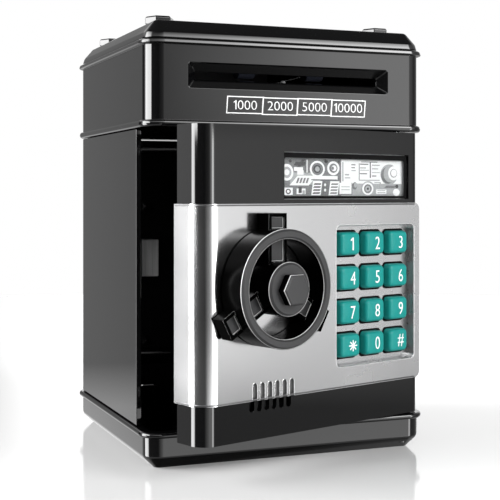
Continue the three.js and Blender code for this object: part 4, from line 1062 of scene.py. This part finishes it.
CARD_BORDER = {"left": 0.9 * MM, "right": 1.7 * MM, "low": 1.1 * MM, "high": 2.2 * MM}


def make_window_art():
    """Line art of machinery on the window card, with a black border round it."""
    card_front = corners("window_card")[0].y
    seen_low, seen_high = corners("window_lens")
    x0 = seen_low.x + CARD_BORDER["left"]
    x1 = seen_high.x - CARD_BORDER["right"]
    z0 = seen_low.z + CARD_BORDER["low"]
    z1 = seen_high.z - CARD_BORDER["high"]
    sheets = {}
    for number, (tone, outline) in enumerate(ART):
        points = [(x0 + u * (x1 - x0), z0 + v * (z1 - z0)) for u, v in outline]
        points = [(min(max(x, x0), x1), min(max(z, z0), z1)) for x, z in points]
        sheets.setdefault(tone, []).append(slab(points, card_front, ART_LAYER * (number + 2), DOOR))
    for tone, meshes in sheets.items():
        put("window_art_" + tone, joined(meshes), "door", INK[tone])
    hole = rounded_outline((x1 - x0) / 2, (z1 - z0) / 2, BORDER_ROUND, BORDER_STEPS)
    rim = rounded_outline((seen_high.x - seen_low.x) / 2, (seen_high.z - seen_low.z) / 2,
                          LENS_ROUND, BORDER_STEPS)
    outer = [((seen_low.x + seen_high.x) / 2 + x, (seen_low.z + seen_high.z) / 2 + z) for x, z in rim]
    inner = [((x0 + x1) / 2 + x, (z0 + z1) / 2 + z) for x, z in hole]
    put("window_border", slab(outer, seen_low.y, INK_DEPTH, DOOR, inner), "door", DEAD_BLACK)


# ---- floor, light and camera

FLOOR_REACH = 0.8
FLOOR_SIDES = 96
FLOOR_GAP = 0.0002
FLOOR_GLOW = 0.05


def make_floor():
    """A wide pale floor with a soft sheen."""
    made, tree, shader = nodes_of("pale_floor")
    tree.links.new(tint(tree, noise(tree, 3.0), (0.66, 0.66, 0.66), (0.68, 0.68, 0.68)),
                   shader.inputs["Base Color"])
    tree.links.new(ramp(tree, noise(tree, 9.0), 0.09, 0.12), shader.inputs["Roughness"])
    shader.inputs["Emission Color"].default_value = (1, 1, 1, 1)
    shader.inputs["Emission Strength"].default_value = FLOOR_GLOW
    mesh = bpy.data.meshes.new("floor")
    rim = [2 * math.pi * step / FLOOR_SIDES for step in range(FLOOR_SIDES)]
    mesh.from_pydata([(FLOOR_REACH * math.cos(a), FLOOR_REACH * math.sin(a), 0) for a in rim], [],
                     [tuple(range(FLOOR_SIDES))])
    floor = bpy.data.objects.new("floor", mesh)
    floor.location.z = CAD_BOX[0].z - FLOOR_GAP
    floor.visible_glossy = False
    bpy.context.scene.collection.objects.link(floor)
    mesh.materials.append(made)


FULL_LIGHT = 20.0
# Stops that two of the rings share: the dark corner behind the left, and the rise in front.
BACK_LEFT = ((-158, 0.36), (-152, 0.03), (-134, 0.03), (-128, 1.0), (-118, 1.0))
FRONT_RISE = ((-20, 0.04), (6, 0.3), (13, 0.6), (17, 1.0), (22, 2.2), (26, 3.8))
# The studio's light levels round the horizon (degrees: 0 front, 90 right, -90 left), ring by ring.
# Each ring is even from its first to its second elevation and blends into the next one above.
RINGS = (
    (-90, -66, ((-180, 0.05), (180, 0.05))),
    (-52, -34, ((-180, 0.7), (180, 0.7))),
    (-22, -10.3, ((-180, 0.95), (-150, 0.95), (-134, 0.4), (-121, 0.45), (-117, 15), (-94, 15), (-86, 0.1),
                  (-20, 0.1), (6, 1.6), (14, 2.4), (31, 2.6), (34, 9), (41, 9), (46, 1.0), (52, 0.36),
                  (95, 0.3), (130, 0.7), (180, 0.95))),
    (-8.2, 2.6, ((-180, 0.36), *BACK_LEFT, (-114, 15), (-94, 15), (-86, 0.1), *FRONT_RISE, (30, 3.9),
                 (33, 13), (41, 13), (47, 2.0), (57, 1.15), (62, 1.0), (68, 0.62), (74, 0.3),
                 (172, 0.36))),
    (3.4, 17, ((-180, 0.3), *BACK_LEFT, (-114, 18), (-72, 18), (-66, 0.1), *FRONT_RISE, (33, 3.9),
               (40, 1.4), (57, 0.9), (66, 0.7), (72, 0.3), (112, 0.3), (130, 1.5), (169, 1.5),
               (172, 0.3))),
    (24, 31, ((-180, 1.3), (-131, 1.3), (-118, 15), (-84, 15), (-70, 1.5), (-20, 3.0), (5, 4.5), (16, 6.5),
              (22, 9.5), (30, 18), (40, 18), (50, 1.2), (78, 0.6), (180, 1.3))),
    (46, 90, ((-180, 0.1), (180, 0.1))),
)


def colour_stops(tree, source, stops):
    """A grey ramp through (position, level) stops; levels are shares of FULL_LIGHT."""
    node = tree.nodes.new("ShaderNodeValToRGB")
    ring = node.color_ramp
    while len(ring.elements) > 1:
        ring.elements.remove(ring.elements[-1])
    for index, (position, level) in enumerate(stops):
        stop = ring.elements[0] if index == 0 else ring.elements.new(position)
        stop.position = position
        share = level / FULL_LIGHT
        stop.color = (share, share, share, 1)
    tree.links.new(source, node.inputs["Fac"])
    return node.outputs["Color"]


def light_round(tree, split):
    """The light level in every direction: the rings, each blended into the next one above."""
    ahead = maths(tree, "MULTIPLY", split.outputs["Y"], -1)
    turn = maths(tree, "ARCTAN2", split.outputs["X"], ahead)
    turn = maths(tree, "ADD", maths(tree, "DIVIDE", turn, math.pi * 2), 0.5)
    lit = None
    blend_from = None
    for start, stop, levels_round in RINGS:
        stops = [((degrees + 180) / 360, level) for degrees, level in levels_round]
        here = maths(tree, "MULTIPLY", colour_stops(tree, turn, stops), FULL_LIGHT)
        if lit is None:
            lit = here
        else:
            share = ramp(tree, split.outputs["Z"], 0, 1, math.sin(math.radians(blend_from)),
                         math.sin(math.radians(start)))
            below = maths(tree, "MULTIPLY", lit, maths(tree, "SUBTRACT", 1.0, share))
            lit = maths(tree, "ADD", maths(tree, "MULTIPLY", here, share), below)
        blend_from = stop
    return lit


def make_studio():
    """A surround that lights the bank and is mirrored in it by the rings; the camera itself sees white."""
    world = bpy.data.worlds.new("studio")
    world.use_nodes = True
    bpy.context.scene.world = world
    tree = world.node_tree
    background = tree.nodes["Background"]
    place = tree.nodes.new("ShaderNodeTexCoord")
    split = tree.nodes.new("ShaderNodeSeparateXYZ")
    tree.links.new(place.outputs["Generated"], split.inputs["Vector"])
    lit = light_round(tree, split)
    path = tree.nodes.new("ShaderNodeLightPath")
    seen = path.outputs["Is Camera Ray"]
    unseen = maths(tree, "SUBTRACT", 1.0, seen)
    strength = maths(tree, "ADD", maths(tree, "MULTIPLY", lit, unseen), seen)
    background.inputs["Color"].default_value = (1, 1, 1, 1)
    tree.links.new(strength, background.inputs["Strength"])
    bpy.context.scene.view_settings.view_transform = "Standard"


LENS = 83.88
SENSOR = 36
LENS_DROP = -0.1117
NEAR_CLIP = 0.01
CAMERA_PLACE = (-0.20317, -0.52774, 0.1156)
CAMERA_HEADING = -21.47


def make_camera():
    """A long lens at the bank's mid height, a little to its left."""
    data = bpy.data.cameras.new("camera")
    data.sensor_width = SENSOR
    data.lens = LENS
    data.shift_y = LENS_DROP
    data.clip_start = NEAR_CLIP
    camera = bpy.data.objects.new("camera", data)
    camera.location = CAMERA_PLACE
    camera.rotation_euler = (math.radians(90), 0, math.radians(CAMERA_HEADING))
    bpy.context.scene.collection.objects.link(camera)
    bpy.context.scene.camera = camera


make_housing()
make_power()
make_feed()
make_door()
make_knob()
for node, figure in KEYS.items():
    make_key(node, figure)
make_pad_shade_collars()
make_vent_shade_strips()
make_plate_beads()
make_labels()
make_window_art()
make_floor()
make_studio()
make_camera()
